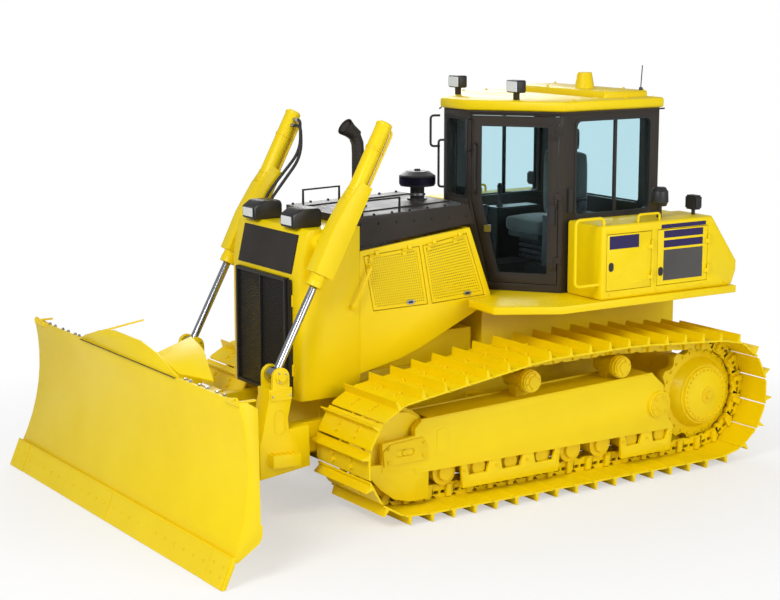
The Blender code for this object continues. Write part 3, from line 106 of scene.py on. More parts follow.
def new_finish(name, colour, roughness, metallic=0.0, **sockets):
    made = bpy.data.materials.new(name)
    made.use_nodes = True
    tree = made.node_tree
    shader = tree.nodes["Principled BSDF"]
    set_inputs(shader, Base_Color=(*colour, 1), Roughness=roughness, Metallic=metallic, **sockets)
    return made, tree, shader


def object_noise(tree, scale, detail=3.0, stretch=(1, 1, 1)):
    """A noise pattern fixed to the piece, which a Mapping node can draw out along an axis."""
    place = new_node(tree, "ShaderNodeTexCoord")
    mapping = new_node(tree, "ShaderNodeMapping", Scale=stretch)
    noise = new_node(tree, "ShaderNodeTexNoise", Scale=scale, Detail=detail)
    tree.links.new(place.outputs["Object"], mapping.inputs["Vector"])
    tree.links.new(mapping.outputs["Vector"], noise.inputs["Vector"])
    return noise


def spread(tree, source, low, high, socket):
    """Maps a 0 to 1 pattern to a range of values and feeds a socket with it."""
    ramp = new_node(tree, "ShaderNodeMapRange", From_Min=0.3, From_Max=0.7, To_Min=low, To_Max=high)
    tree.links.new(source, ramp.inputs["Value"])
    tree.links.new(ramp.outputs["Result"], socket)


def bumpy(tree, shader, source, depth):
    bump = new_node(tree, "ShaderNodeBump", Strength=1.0, Distance=depth)
    tree.links.new(source, bump.inputs["Height"])
    tree.links.new(bump.outputs["Normal"], shader.inputs["Normal"])


def two_tone(tree, shader, source, first, second):
    """Lets the base colour drift between two close colours along a pattern."""
    mix = tree.nodes.new("ShaderNodeMix")
    mix.data_type = "RGBA"
    set_inputs(mix, A=(*first, 1), B=(*second, 1))
    spread(tree, source, 0.0, 1.0, mix.inputs["Factor"])
    tree.links.new(mix.outputs["Result"], shader.inputs["Base Color"])


print("finish helpers ready")


# %% [markdown]
# Sprayed machine paint is glossy but never flat: it has a fine orange peel, and its gloss drifts a
# little over a wide plate. Two noises do this, a small one for the bump and a large one for the
# roughness and the colour.

# %% Paint
def sprayed_paint(name, colour, shade, roughness, peel=0.00012, coat=0.05):
    sheen = {"Coat_Weight": coat, "Coat_Roughness": 0.12, "Specular_IOR_Level": 0.28}
    made, tree, shader = new_finish(name, colour, roughness, **sheen)
    cloud = object_noise(tree, 2.2, 2.0)
    two_tone(tree, shader, cloud.outputs["Fac"], colour, shade)
    spread(tree, cloud.outputs["Fac"], roughness - 0.04, roughness + 0.06, shader.inputs["Roughness"])
    bumpy(tree, shader, object_noise(tree, 240.0, 2.0).outputs["Fac"], peel)
    return made


YELLOW = sprayed_paint("machine_yellow_paint", (0.90, 0.665, 0.0), (0.86, 0.625, 0.0), 0.38, coat=0.03)
CAST_YELLOW = sprayed_paint("cast_yellow_paint", (0.88, 0.63, 0.0), (0.80, 0.55, 0.0), 0.48, 0.0006, 0.0)
CAB_DARK = sprayed_paint("cab_dark_paint", (0.040, 0.031, 0.024), (0.030, 0.024, 0.019), 0.36)
HOOD_DARK = sprayed_paint("hood_dark_paint", (0.030, 0.023, 0.018), (0.020, 0.016, 0.013), 0.42)
PLATE_GREY = sprayed_paint("plate_grey_paint", (0.085, 0.080, 0.076), (0.07, 0.066, 0.062), 0.5)
NAVY = sprayed_paint("stripe_navy_paint", (0.030, 0.020, 0.095), (0.024, 0.016, 0.080), 0.35)
print("paints", len(bpy.data.materials))

# %% [markdown]
# The other finishes follow: chromed rods with faint turning marks, rubber, tinted glass, moulded
# black plastic, clear plastic for lenses, and woven cloth for the seat.

# %% Steel, rubber, glass and cloth
def chromed(name):
    made, tree, shader = new_finish(name, (0.42, 0.43, 0.46), 0.16, 1.0)
    lines = object_noise(tree, 90.0, 2.0, (0.2, 0.2, 12.0))
    spread(tree, lines.outputs["Fac"], 0.10, 0.24, shader.inputs["Roughness"])
    return made


def rubber(name, colour=(0.018, 0.017, 0.016)):
    made, tree, shader = new_finish(name, colour, 0.62)
    grain = object_noise(tree, 300.0, 2.0)
    two_tone(tree, shader, grain.outputs["Fac"], colour, tuple(c * 1.6 for c in colour))
    bumpy(tree, shader, grain.outputs["Fac"], 0.0003)
    return made


def moulded(name, colour, roughness=0.5):
    made, tree, shader = new_finish(name, colour, roughness)
    grain = object_noise(tree, 420.0, 1.0)
    spread(tree, grain.outputs["Fac"], roughness - 0.06, roughness + 0.08, shader.inputs["Roughness"])
    bumpy(tree, shader, grain.outputs["Fac"], 0.0002)
    return made


def tinted_glass(name, colour, roughness=0.01):
    made, tree, shader = new_finish(name, colour, roughness, Transmission_Weight=1.0, IOR=1.08)
    haze = object_noise(tree, 3.0, 2.0)
    spread(tree, haze.outputs["Fac"], roughness, roughness + 0.015, shader.inputs["Roughness"])
    return made


def woven(name, colour):
    """Cloth of crossed threads: two wave patterns at right angles, one over the other."""
    made, tree, shader = new_finish(name, colour, 0.9, Sheen_Weight=0.4, Sheen_Roughness=0.5)
    place = new_node(tree, "ShaderNodeTexCoord")
    waves = []
    for direction in ("X", "Z"):
        wave = new_node(tree, "ShaderNodeTexWave", Scale=110.0, Distortion=0.6)
        wave.bands_direction = direction
        tree.links.new(place.outputs["Object"], wave.inputs["Vector"])
        waves.append(wave)
    mix = tree.nodes.new("ShaderNodeMath")
    mix.operation = "MAXIMUM"
    tree.links.new(waves[0].outputs["Fac"], mix.inputs[0])
    tree.links.new(waves[1].outputs["Fac"], mix.inputs[1])
    two_tone(tree, shader, mix.outputs["Value"], colour, tuple(c * 2.4 for c in colour))
    bumpy(tree, shader, mix.outputs["Value"], 0.0006)
    return made


CHROME = chromed("chromed_rod")
BOLT_STEEL = chromed("plated_bolt")
HOSE = rubber("hose_rubber")
SEAL = rubber("window_seal_rubber", (0.012, 0.012, 0.012))
BLACK_PLASTIC = moulded("black_plastic", (0.016, 0.015, 0.015), 0.42)
GREY_PLASTIC = moulded("grey_plastic", (0.10, 0.10, 0.10), 0.55)
ENGINE_GREY = moulded("cast_engine_grey", (0.13, 0.13, 0.13), 0.65)
GLASS = tinted_glass("window_glass", (0.70, 0.86, 0.90))
LENS = moulded("lamp_lens", (0.72, 0.75, 0.77), 0.18)
BOWL = tinted_glass("dust_bowl", (0.30, 0.30, 0.62), 0.06)
SEAT_CLOTH = woven("seat_cloth", (0.022, 0.024, 0.025))
print("materials", [m.name for m in bpy.data.materials][:40])


# %% [markdown]
# The studio is a pale floor that runs off to white, one wide soft light over the camera's left
# shoulder, a weaker one on the right, and a plain pale sky. The camera stands where the
# photographer stood: in front of the machine's left side, well above the height of a person.

# %% Camera and studio
FRAME_WIDE = 780  # pixels across the picture
FOCAL_PIXELS = 1806.4
CAMERA_AZIMUTH = math.radians(56.947)
CAMERA_RISE = math.radians(10.231)
CAMERA_PLACE = Vector((12.403, -7.411, 4.139)) + DATUM

lens = bpy.data.cameras.new("photo_camera")
lens.sensor_width = 36.0
lens.lens = FOCAL_PIXELS * lens.sensor_width / FRAME_WIDE
lens.clip_end = 200.0
camera = bpy.data.objects.new("photo_camera", lens)
bpy.context.scene.collection.objects.link(camera)
camera.location = CAMERA_PLACE
camera.rotation_euler = (math.pi / 2 - CAMERA_RISE, 0, CAMERA_AZIMUTH)
bpy.context.scene.camera = camera


def lamp(name, place, aim, size, watts):
    light = bpy.data.lights.new(name, "AREA")
    light.shape = "DISK"
    light.size = size
    light.energy = watts
    made = bpy.data.objects.new(name, light)
    bpy.context.scene.collection.objects.link(made)
    made.location = place
    made.rotation_euler = (Vector(aim) - Vector(place)).to_track_quat("-Z", "Y").to_euler()
    return made


MIDDLE = (0.0, 0.0, 1.4)
lamp("key_light", (5.5, -9.0, 8.5), MIDDLE, 5.0, 820)
lamp("fill_light", (11.0, 3.0, 5.0), MIDDLE, 7.0, 420)
lamp("back_light", (-9.0, 5.0, 6.5), MIDDLE, 6.0, 420)
print("camera lens", round(lens.lens, 2), "mm")


# %% [markdown]
# To the camera the floor and the sky are plain white, apart from the soft shadow on the floor.

# %% Floor and sky
def white_to_the_camera(tree, surface, output):
    """Shows a plain white sky to camera and window rays, and the real one to all others."""
    path = tree.nodes.new("ShaderNodeLightPath")
    through = tree.nodes.new("ShaderNodeMath")
    through.operation = "MAXIMUM"
    tree.links.new(path.outputs["Is Camera Ray"], through.inputs[0])
    tree.links.new(path.outputs["Is Transmission Ray"], through.inputs[1])
    glow = new_node(tree, "ShaderNodeBackground", Color=(1, 1, 1, 1), Strength=1.0)
    mix = tree.nodes.new("ShaderNodeMixShader")
    tree.links.new(through.outputs["Value"], mix.inputs["Fac"])
    tree.links.new(surface, mix.inputs[1])
    tree.links.new(glow.outputs[0], mix.inputs[2])
    tree.links.new(mix.outputs["Shader"], output.inputs["Surface"])


world = bpy.data.worlds.new("studio_sky")
bpy.context.scene.world = world
world.use_nodes = True
sky = world.node_tree
dome = set_inputs(sky.nodes["Background"], Color=(0.95, 0.97, 1.0, 1), Strength=0.42)
white_to_the_camera(sky, dome.outputs[0], sky.nodes["World Output"])

FLOOR_HALF = 16.0
floor_mesh = bpy.data.meshes.new("studio_floor")
floor_shape = bmesh.new()
bmesh.ops.create_circle(floor_shape, cap_ends=True, radius=FLOOR_HALF, segments=96)
floor_shape.to_mesh(floor_mesh)
floor_shape.free()
floor = bpy.data.objects.new("studio_floor", floor_mesh)
bpy.context.scene.collection.objects.link(floor)
floor_finish, floor_tree, floor_shader = new_finish("studio_floor", (0.93, 0.93, 0.93), 0.6)
grain = object_noise(floor_tree, 1.5)
spread(floor_tree, grain.outputs["Fac"], 0.55, 0.65, floor_shader.inputs["Roughness"])
floor_mesh.materials.append(floor_finish)
fading = new_node(floor_tree, "ShaderNodeTexCoord")
reach = new_node(floor_tree, "ShaderNodeVectorMath")
reach.operation = "LENGTH"
floor_tree.links.new(fading.outputs["Object"], reach.inputs[0])
fade = new_node(floor_tree, "ShaderNodeMapRange", From_Min=2.4, From_Max=5.5, To_Min=0.5, To_Max=1.0)
floor_tree.links.new(reach.outputs["Value"], fade.inputs["Value"])
seen = floor_tree.nodes.new("ShaderNodeLightPath")
share = floor_tree.nodes.new("ShaderNodeMath")
share.operation = "MULTIPLY"
floor_tree.links.new(fade.outputs["Result"], share.inputs[0])
floor_tree.links.new(seen.outputs["Is Camera Ray"], share.inputs[1])
white = new_node(floor_tree, "ShaderNodeEmission", Strength=1.0)
mix = floor_tree.nodes.new("ShaderNodeMixShader")
floor_tree.links.new(share.outputs["Value"], mix.inputs["Fac"])
floor_tree.links.new(floor_shader.outputs["BSDF"], mix.inputs[1])
floor_tree.links.new(white.outputs["Emission"], mix.inputs[2])
floor_tree.links.new(mix.outputs["Shader"], floor_tree.nodes["Material Output"].inputs["Surface"])
bpy.context.scene.view_settings.view_transform = "Standard"
print("floor", FLOOR_HALF * 2, "m across")

# %% [markdown]
# Every added piece is gathered from closed solids. A few small functions make them: a prism through
# rings of points, a turned body, a pipe along a path and a slab cut from an outline with holes. The
# last one joins solids to a piece and hands the piece to the body that it moves with.

# %% Solids
UPRIGHT = (0, 0, 1)


def solid(rings, bevel=0.0, closed=False):
    """A solid through rings of points, capped at both ends or closed on itself, as a mesh."""
    shape = bmesh.new()
    made = [[shape.verts.new(point) for point in ring] for ring in rings]
    pairs = list(zip(made, made[1:])) + ([(made[-1], made[0])] if closed else [])
    for low, high in pairs:
        for n in range(len(low)):
            shape.faces.new((low[n - 1], low[n], high[n], high[n - 1]))
    if not closed:
        shape.faces.new(made[0])
        shape.faces.new(made[-1])
    return settle(shape, bevel)


def settle(shape, bevel=0.0):
    """Turns a solid's faces outwards, breaks its sharp edges and gives it back as a mesh."""
    bmesh.ops.recalc_face_normals(shape, faces=shape.faces)
    if bevel:
        sharp = [edge for edge in shape.edges if edge.calc_face_angle(0.0) > 0.6]
        bmesh.ops.bevel(shape, geom=sharp, offset=bevel, segments=2, affect="EDGES", clamp_overlap=True)
    mesh = bpy.data.meshes.new("solid")
    shape.to_mesh(mesh)
    shape.free()
    return mesh


def circle(centre, along, radius, sides):
    turn = Vector(along).to_track_quat("Z", "Y").to_matrix()
    ring = []
    for n in range(sides):
        angle = 2 * math.pi * n / sides
        spot = Vector((radius * math.cos(angle), radius * math.sin(angle), 0))
        ring.append(Vector(centre) + turn @ spot)
    return ring


def turned(centre, along, profile, sides=32, closed=False):
    """A turned body: its profile is (distance along the axis, radius) pairs."""
    way = Vector(along).normalized()
    rings = [circle(Vector(centre) + way * run, way, radius, sides) for run, radius in profile]
    return solid(rings, 0.0, closed)


def pipe(points, radius, sides=12):
    """A pipe along a path whose rings turn as little as they can."""
    path = [Vector(point) for point in points]
    rings = []
    side = None
    for n, here in enumerate(path):
        before = path[max(n - 1, 0)]
        after = path[min(n + 1, len(path) - 1)]
        way = (after - before).normalized()
        side = (side or way.orthogonal()) - (side or way.orthogonal()).project(way)
        side.normalize()
        other = way.cross(side)
        turns = [2 * math.pi * k / sides for k in range(sides)]
        rings.append([here + side * radius * math.cos(a) + other * radius * math.sin(a) for a in turns])
    return solid(rings)


def eased(corners, radius, steps=4):
    """A path with its corners rounded, for pipes and rails."""
    path = [Vector(corner) for corner in corners]
    made = [path[0]]
    for before, here, after in zip(path, path[1:], path[2:]):
        reach = min(radius, (before - here).length / 2, (after - here).length / 2)
        start = here + (before - here).normalized() * reach
        end = here + (after - here).normalized() * reach
        for n in range(steps + 1):
            share = n / steps
            made.append(start.lerp(here, share).lerp(here.lerp(end, share), share))
    return made + [path[-1]]


AXIS_ORDER = {"x": (1, 2, 0), "y": (0, 2, 1), "z": (0, 1, 2)}


def slab(outlines, low, high, axis, bevel=0.0):
    """A slab from low to high along an axis. The first outline is its edge, and the rest are holes."""
    curve = bpy.data.curves.new("slab", "CURVE")
    curve.dimensions = "2D"
    curve.fill_mode = "BOTH"
    curve.extrude = abs(high - low) / 2
    for outline in outlines:
        line = curve.splines.new("POLY")
        line.points.add(len(outline) - 1)
        line.use_cyclic_u = True
        for point, (a, b) in zip(line.points, outline):
            point.co = (a, b, 0, 1)
    holder = bpy.data.objects.new("slab", curve)
    flat = bpy.data.meshes.new_from_object(holder)
    shape = bmesh.new()
    shape.from_mesh(flat)
    bmesh.ops.remove_doubles(shape, verts=shape.verts, dist=0.0001)
    order = AXIS_ORDER[axis]
    middle = (low + high) / 2
    for vert in shape.verts:
        place = [0, 0, 0]
        for source, target in zip((vert.co.x, vert.co.y, vert.co.z + middle), order):
            place[target] = source
        vert.co = place
    bpy.data.objects.remove(holder)
    bpy.data.curves.remove(curve)
    return settle(shape, bevel)


def block(low, high, bevel=0.004):
    (x0, y0, z0), (x1, y1, z1) = low, high
    lower = [(x0, y0, z0), (x1, y0, z0), (x1, y1, z0), (x0, y1, z0)]
    return solid([lower, [(x, y, z1) for x, y, _ in lower]], bevel)


def oval(centre, wide, high, sides=20):
    """A stadium outline: two half circles joined by straight runs."""
    radius = min(wide, high) / 2
    reach_a, reach_b = wide / 2 - radius, high / 2 - radius
    made = []
    for n in range(sides):
        angle = 2 * math.pi * (n + 0.5) / sides
        a, b = math.cos(angle), math.sin(angle)
        push = (math.copysign(reach_a, a), math.copysign(reach_b, b))
        made.append((centre[0] + a * radius + push[0], centre[1] + b * radius + push[1]))
    return made


def moved(mesh, matrix):
    mesh.transform(matrix)
    if matrix.determinant() < 0:
        mesh.flip_normals()
    return mesh


def painted(finish, *solids):
    """The solids of a piece that share a finish, as (solid, finish) pairs."""
    return [(made, finish) for made in solids]


def spots_round(y, z, radius, count, start=0.0):
    """Places evenly round a centre, as (station, height) pairs. Start counts in steps."""
    turns = [2 * math.pi * (n + start) / count for n in range(count)]
    return [(y + radius * math.cos(turn), z + radius * math.sin(turn)) for turn in turns]


def gather(parts):
    """One mesh from (solid, finish) pairs, smooth on its rounds and sharp at its corners."""
    shape = bmesh.new()
    finishes = []
    for mesh, finish in parts:
        if finish not in finishes:
            finishes.append(finish)
        first = len(shape.faces)
        shape.from_mesh(mesh)
        shape.faces.ensure_lookup_table()
        for face in shape.faces[first:]:
            face.material_index = finishes.index(finish)
    mesh = bpy.data.meshes.new("gathered")
    shape.to_mesh(mesh)
    shape.free()
    for finish in finishes:
        mesh.materials.append(finish)
    mesh.shade_smooth()
    mesh.set_sharp_from_angle(angle=math.radians(32))
    return mesh


def piece(name, body, parts):
    """Joins (solid, finish) pairs, placed by stations, to one piece that moves with a body."""
    mesh = gather(parts)
    mesh.transform(Matrix.Translation(DATUM))
    made = bpy.data.objects.new(name, mesh)
    bpy.context.scene.collection.objects.link(made)
    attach(made, body)
    return made


print("solid helpers ready")

# %% [markdown]
# What repeats is placed by one tree of Geometry Nodes: shoes of the tracks, bolts, wires, slats and
# studs. It sets a copy on each point, turns and sizes it by the point's own attributes, and turns
# the result into a plain mesh.

# %% The tree that places copies
TREE_SOCKETS = {"Points": "Geometry", "Copy": "Object", "Finish": "Material", "Twist": "Float", "Seed": "Int"}
TREE_NODES = {
    "given": "NodeGroupInput",
    "source": "GeometryNodeObjectInfo",
    "turn": "GeometryNodeInputNamedAttribute",
    "size": "GeometryNodeInputNamedAttribute",
    "euler": "FunctionNodeEulerToRotation",
    "place": "GeometryNodeInstanceOnPoints",
    "random": "FunctionNodeRandomValue",
    "spin": "ShaderNodeCombineXYZ",
    "rotate": "GeometryNodeRotateInstances",
    "real": "GeometryNodeRealizeInstances",
    "paint": "GeometryNodeSetMaterial",
    "result": "NodeGroupOutput",
}
TREE_LINKS = (
    ("given", "Copy", "source", "Object"),
    ("given", "Points", "place", "Points"),
    ("source", "Geometry", "place", "Instance"),
    ("turn", "Attribute", "euler", "Euler"),
    ("euler", "Rotation", "place", "Rotation"),
    ("size", "Attribute", "place", "Scale"),
    ("given", "Twist", "random", 3),
    ("given", "Seed", "random", "Seed"),
    ("random", 1, "spin", "Z"),
    ("place", "Instances", "rotate", "Instances"),
    ("spin", "Vector", "rotate", "Rotation"),
    ("rotate", "Instances", "real", "Geometry"),
    ("real", "Geometry", "paint", "Geometry"),
    ("given", "Finish", "paint", "Material"),
    ("paint", "Geometry", "result", "Copies"),
)


def copies_tree():
    tree = bpy.data.node_groups.new("place_copies", "GeometryNodeTree")
    for name, kind in TREE_SOCKETS.items():
        tree.interface.new_socket(name, in_out="INPUT", socket_type="NodeSocket" + kind)
    tree.interface.new_socket("Copies", in_out="OUTPUT", socket_type="NodeSocketGeometry")
    nodes = {name: tree.nodes.new(kind) for name, kind in TREE_NODES.items()}
    for name in ("turn", "size"):
        nodes[name].data_type = "FLOAT_VECTOR"
        nodes[name].inputs["Name"].default_value = name
    nodes["random"].data_type = "FLOAT"
    for source, gives, target, takes in TREE_LINKS:
        tree.links.new(nodes[source].outputs[gives], nodes[target].inputs[takes])
    return tree


COPIES = copies_tree()
SOCKETS = {item.name: item.identifier for item in COPIES.interface.items_tree if item.in_out == "INPUT"}


def copies(name, body, parts, places, finish, twist=0.0, seed=7):
    """Sets the solids of parts on each (point, direction or turn, size) of places."""
    shared = bpy.data.objects.new("copy_source", gather([(part, finish) for part in parts]))
    bpy.context.scene.collection.objects.link(shared)
    points = bpy.data.meshes.new(name)
    points.from_pydata([tuple(Vector(point) + DATUM) for point, _, _ in places], [], [])
    turns = points.attributes.new("turn", "FLOAT_VECTOR", "POINT")
    sizes = points.attributes.new("size", "FLOAT_VECTOR", "POINT")
    for n, (_, way, size) in enumerate(places):
        euler = way if isinstance(way, tuple) else way.to_track_quat("Z", "Y").to_euler()
        turns.data[n].vector = tuple(euler)
        sizes.data[n].vector = size if isinstance(size, tuple) else (size,) * 3
    made = bpy.data.objects.new(name, points)
    bpy.context.scene.collection.objects.link(made)
    modifier = made.modifiers.new("place_copies", "NODES")
    modifier.node_group = COPIES
    modifier[SOCKETS["Copy"]] = shared
    modifier[SOCKETS["Finish"]] = finish
    modifier[SOCKETS["Twist"]] = twist
    modifier[SOCKETS["Seed"]] = seed
    seen = made.evaluated_get(bpy.context.evaluated_depsgraph_get())
    mesh = bpy.data.meshes.new_from_object(seen)
    made.modifiers.clear()
    made.data = mesh
    bpy.data.objects.remove(shared)
    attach(made, body)
    return made


def bolt_head():
    """A hexagon head on a washer of radius one."""
    washer = turned((0, 0, 0), UPRIGHT, [(-0.2, 1.0), (0.18, 1.0), (0.22, 0.94)], 14)
    head = turned((0, 0, 0), UPRIGHT, [(0.1, 0.8), (0.8, 0.8), (0.95, 0.68)], 6)
    return [washer, head]


def bolts(name, body, places, finish, seed=3):
    """Bolt heads at (point, direction, washer radius) places, each turned a little differently."""
    rows = [(point, Vector(way), size) for point, way, size in places]
    return copies(name, body, bolt_head(), rows, finish, 1.0, seed)


print("copies are placed from", sorted(SOCKETS))

# %% [markdown]
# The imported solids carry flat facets. A merged copy of each gets smooth rounds and a small broken
# edge, which catches the light as a plate's edge does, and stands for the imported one.

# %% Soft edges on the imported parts
NODE_FINISH = {
    "cab_frame": CAB_DARK,
    "cab_door_left": CAB_DARK,
    "cab_door_right": CAB_DARK,
    "hood": HOOD_DARK,
    "exhaust": HOOD_DARK,
    "precleaner": BLACK_PLASTIC,
    "grille_door": BLACK_PLASTIC,
    "console": BLACK_PLASTIC,
    "engine_block": ENGINE_GREY,
    "seat": SEAT_CLOTH,
    "beacon": BLACK_PLASTIC,
}
KEPT_PLAIN = ("track_left", "track_right", "seat", "grille_door")
DOORS = [name for name in frame["nodes"] if name.startswith("engine_door")]


def node_finish(name):
    if "glass" in name:
        return GLASS
    if "lamp" in name:
        return BLACK_PLASTIC
    if "_rod_" in name or name == "tilt_rod":
        return CHROME
    return NODE_FINISH.get(name, YELLOW)


def softened(name, width):
    """A merged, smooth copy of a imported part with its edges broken, which replaces it."""
    node = frame["nodes"][name]
    shape = bmesh.new()
    shape.from_mesh(node.data)
    bmesh.ops.remove_doubles(shape, verts=shape.verts, dist=0.0001)
    bmesh.ops.dissolve_limit(shape, angle_limit=math.radians(1), verts=shape.verts, edges=shape.edges)
    mesh = bpy.data.meshes.new(name + "_soft")
    shape.to_mesh(mesh)
    shape.free()
    made = bpy.data.objects.new(name + "_soft", mesh)
    bpy.context.scene.collection.objects.link(made)
    if width:
        edge = made.modifiers.new("broken_edge", "BEVEL")
        edge.width = width
        edge.segments = 2
        edge.limit_method = "ANGLE"
        edge.angle_limit = math.radians(40)
        seen = made.evaluated_get(bpy.context.evaluated_depsgraph_get())
        made.data = bpy.data.meshes.new_from_object(seen)
        made.modifiers.clear()
    made.data.materials.clear()
    made.data.materials.append(node_finish(name))
    made.data.shade_smooth()
    made.data.set_sharp_from_angle(angle=math.radians(32))
    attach(made, body_of(node)[0])
    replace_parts(made, name)
    return made


for name, node in list(frame["nodes"].items()):
    if name in KEPT_PLAIN or name in DOORS:
        node.data.materials.clear()
        node.data.materials.append(node_finish(name))
    else:
        softened(name, 0.0 if "glass" in name else 0.003)
print("packed parts painted:", len(frame["nodes"]))
# %% [markdown]
# The tracks run on a loop of pins: round the idler, over two carrier rollers, round the sprocket and
# back along the ground. Each link carries a shoe with one grouser, two side plates with their oblong
# holes, a bushing and four shoe bolts. The same tree as before sets 44 of them on each loop.

# %% Tracks
WHEELBASE = 3.13
TRACK_X = 1.025
PIN_HIGH = 0.136
IDLER = (0.0, PIN_HIGH + 0.383, 0.383)
SPROCKET = (WHEELBASE, PIN_HIGH + 0.443, 0.443)
CARRIERS = ((1.23, 0.930, 0.150), (2.17, 0.937, 0.150))
SHOES = 44
SHOE_HALF = 0.38
SHOE_FOOT, SHOE_TOP, GROUSER_TIP = 0.055, 0.071, 0.136  # over the pin line


def tangent(first, second):
    """Upper tangent of two circles (station, height, radius), walked from the first to the second."""
    (ya, za, ra), (yb, zb, rb) = first, second
    along = Vector((yb - ya, zb - za))
    lean = Matrix.Rotation(math.asin((rb - ra) / along.length), 2)
    normal = lean @ Vector((-along.y, along.x)).normalized()
    return Vector((ya, za)) + normal * ra, Vector((yb, zb)) + normal * rb, normal


def pin_places():
    """The pins of a track as evenly spaced points on the loop round its wheels."""
    wheels = [IDLER, *CARRIERS, SPROCKET]
    runs = [tangent(wheel, wheels[(n + 1) % 4]) for n, wheel in enumerate(wheels)]
    loop = []
    for n, (y, z, radius) in enumerate(wheels):
        arrive, leave = runs[n - 1][2], runs[n][2]
        sweep = arrive.angle_signed(leave) % (2 * math.pi)
        count = max(2, int(sweep / math.radians(2)))
        for step in range(count + 1):
            loop.append(Vector((y, z)) + Matrix.Rotation(-sweep * step / count, 2) @ arrive * radius)
    loop.append(loop[0])
    lengths = [0.0]
    for a, b in zip(loop, loop[1:]):
        lengths.append(lengths[-1] + (b - a).length)
    places = []
    span = 0
    for n in range(SHOES):
        want = lengths[-1] * (n + 0.5) / SHOES
        while lengths[span + 1] < want:
            span += 1
        share = (want - lengths[span]) / (lengths[span + 1] - lengths[span])
        places.append(loop[span].lerp(loop[span + 1], share))
    return places


def link_solids(length):
    """One link with its shoe: Y runs from pin to pin and Z points out of the loop."""
    shoe = [(-0.05, 0.048), (-0.05, 0.060), (0.06, SHOE_TOP), (0.71, SHOE_TOP), (0.775, GROUSER_TIP)]
    shoe += [(0.825, GROUSER_TIP), (0.90, SHOE_TOP), (1.03, SHOE_TOP), (1.03, SHOE_FOOT), (0.05, SHOE_FOOT)]
    shoe = [(share * length, z) for share, z in shoe]
    solids = [slab([shoe], -SHOE_HALF, SHOE_HALF, "x", 0.002)]
    solids.append(turned((-0.047, 0, 0), (1, 0, 0), [(0, 0.03), (0.094, 0.03)], 16))
    side = [(-0.045, -0.058), (length * 0.35, -0.058), (length * 0.5, -0.045), (length * 0.65, -0.058)]
    side += [(length - 0.045, -0.058), (length - 0.03, 0.02), (length - 0.07, 0.058), (0.0, 0.058)]
    side.append((-0.04, 0.03))
    holes = [oval((length * share, 0.012), 0.05, 0.030, 12) for share in (0.33, 0.66)]
    pad = [(0.005, -0.05), (0.045, -0.05), (0.05, 0.05), (0.0, 0.05)]
    for outlines, low, high, edge in (([side] + holes, 0.055, 0.082, 0.0015), ([pad], 0.078, 0.108, 0.003)):
        solids.append(slab(outlines, low, high, "x", edge))
        solids.append(slab(outlines, -high, -low, "x", edge))
    for x in (-0.13, 0.13):
        for share in (0.24, 0.52):
            spot = Matrix.Translation((x, share * length, SHOE_TOP)) @ Matrix.Scale(0.02, 4)
            solids += [moved(part, spot) for part in bolt_head()]
    return solids


for side, sign in SIDES:
    pins = pin_places()
    longest = max((b - a).length for a, b in zip(pins, pins[1:]))
    rows = []
    for n, pin in enumerate(pins):
        ahead = pins[(n + 1) % SHOES] - pin
        way = math.atan2(ahead.y, ahead.x)
        rows.append(((sign * TRACK_X, pin.x, pin.y), (way, 0.0, 0.0), (1.0, ahead.length / longest, 1.0)))
    chain = copies("track_links_" + side, "machine", link_solids(longest), rows, YELLOW)
    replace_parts(chain, "track_" + side)
    print(chain.name, len(chain.data.vertices), "vertices in", SHOES, "links")

# %% [markdown]
# The undercarriage gets its castings' details: roller ends with their flanges, ribs on the carrier
# caps, the ring of bolts on the final drive and the bolted cap on the frame's pivot.

# %% Undercarriage
ROLLERS, FIRST_ROLLER, ROLLER_STEP = 8, 0.42, 0.315
PIVOT_CAP = (2.56, 0.574)
CARRIER_END = [(-0.01, 0.078), (0.010, 0.074), (0.012, 0.05), (0.022, 0.046), (0.022, 0.012)]
ROLLER_END = [(0.105, 0.108), (0.120, 0.108), (0.124, 0.07), (0.150, 0.062), (0.152, 0.03)]
HUB = [(-0.01, 0.075), (0.008, 0.070), (0.010, 0.034), (0.024, 0.030), (0.024, 0.01)]
COVER_RING = [(0, 0.262), (0.006, 0.258), (0.006, 0.245)]
PIVOT_END = [(-0.01, 0.105), (0.010, 0.100), (0.012, 0.055), (0.020, 0.050)]
GUIDE = [(-0.19, 0.44), (-0.20, 0.56), (-0.13, 0.61), (0.17, 0.63), (0.21, 0.56), (0.20, 0.45)]
LID = [(0.30, 0.47), (0.30, 0.66), (0.36, 0.68), (0.42, 0.66), (0.42, 0.47)]


def beside(sign, run, spot):
    """A point at a distance outwards from the middle of a side's track."""
    return (sign * (TRACK_X + run), *spot)


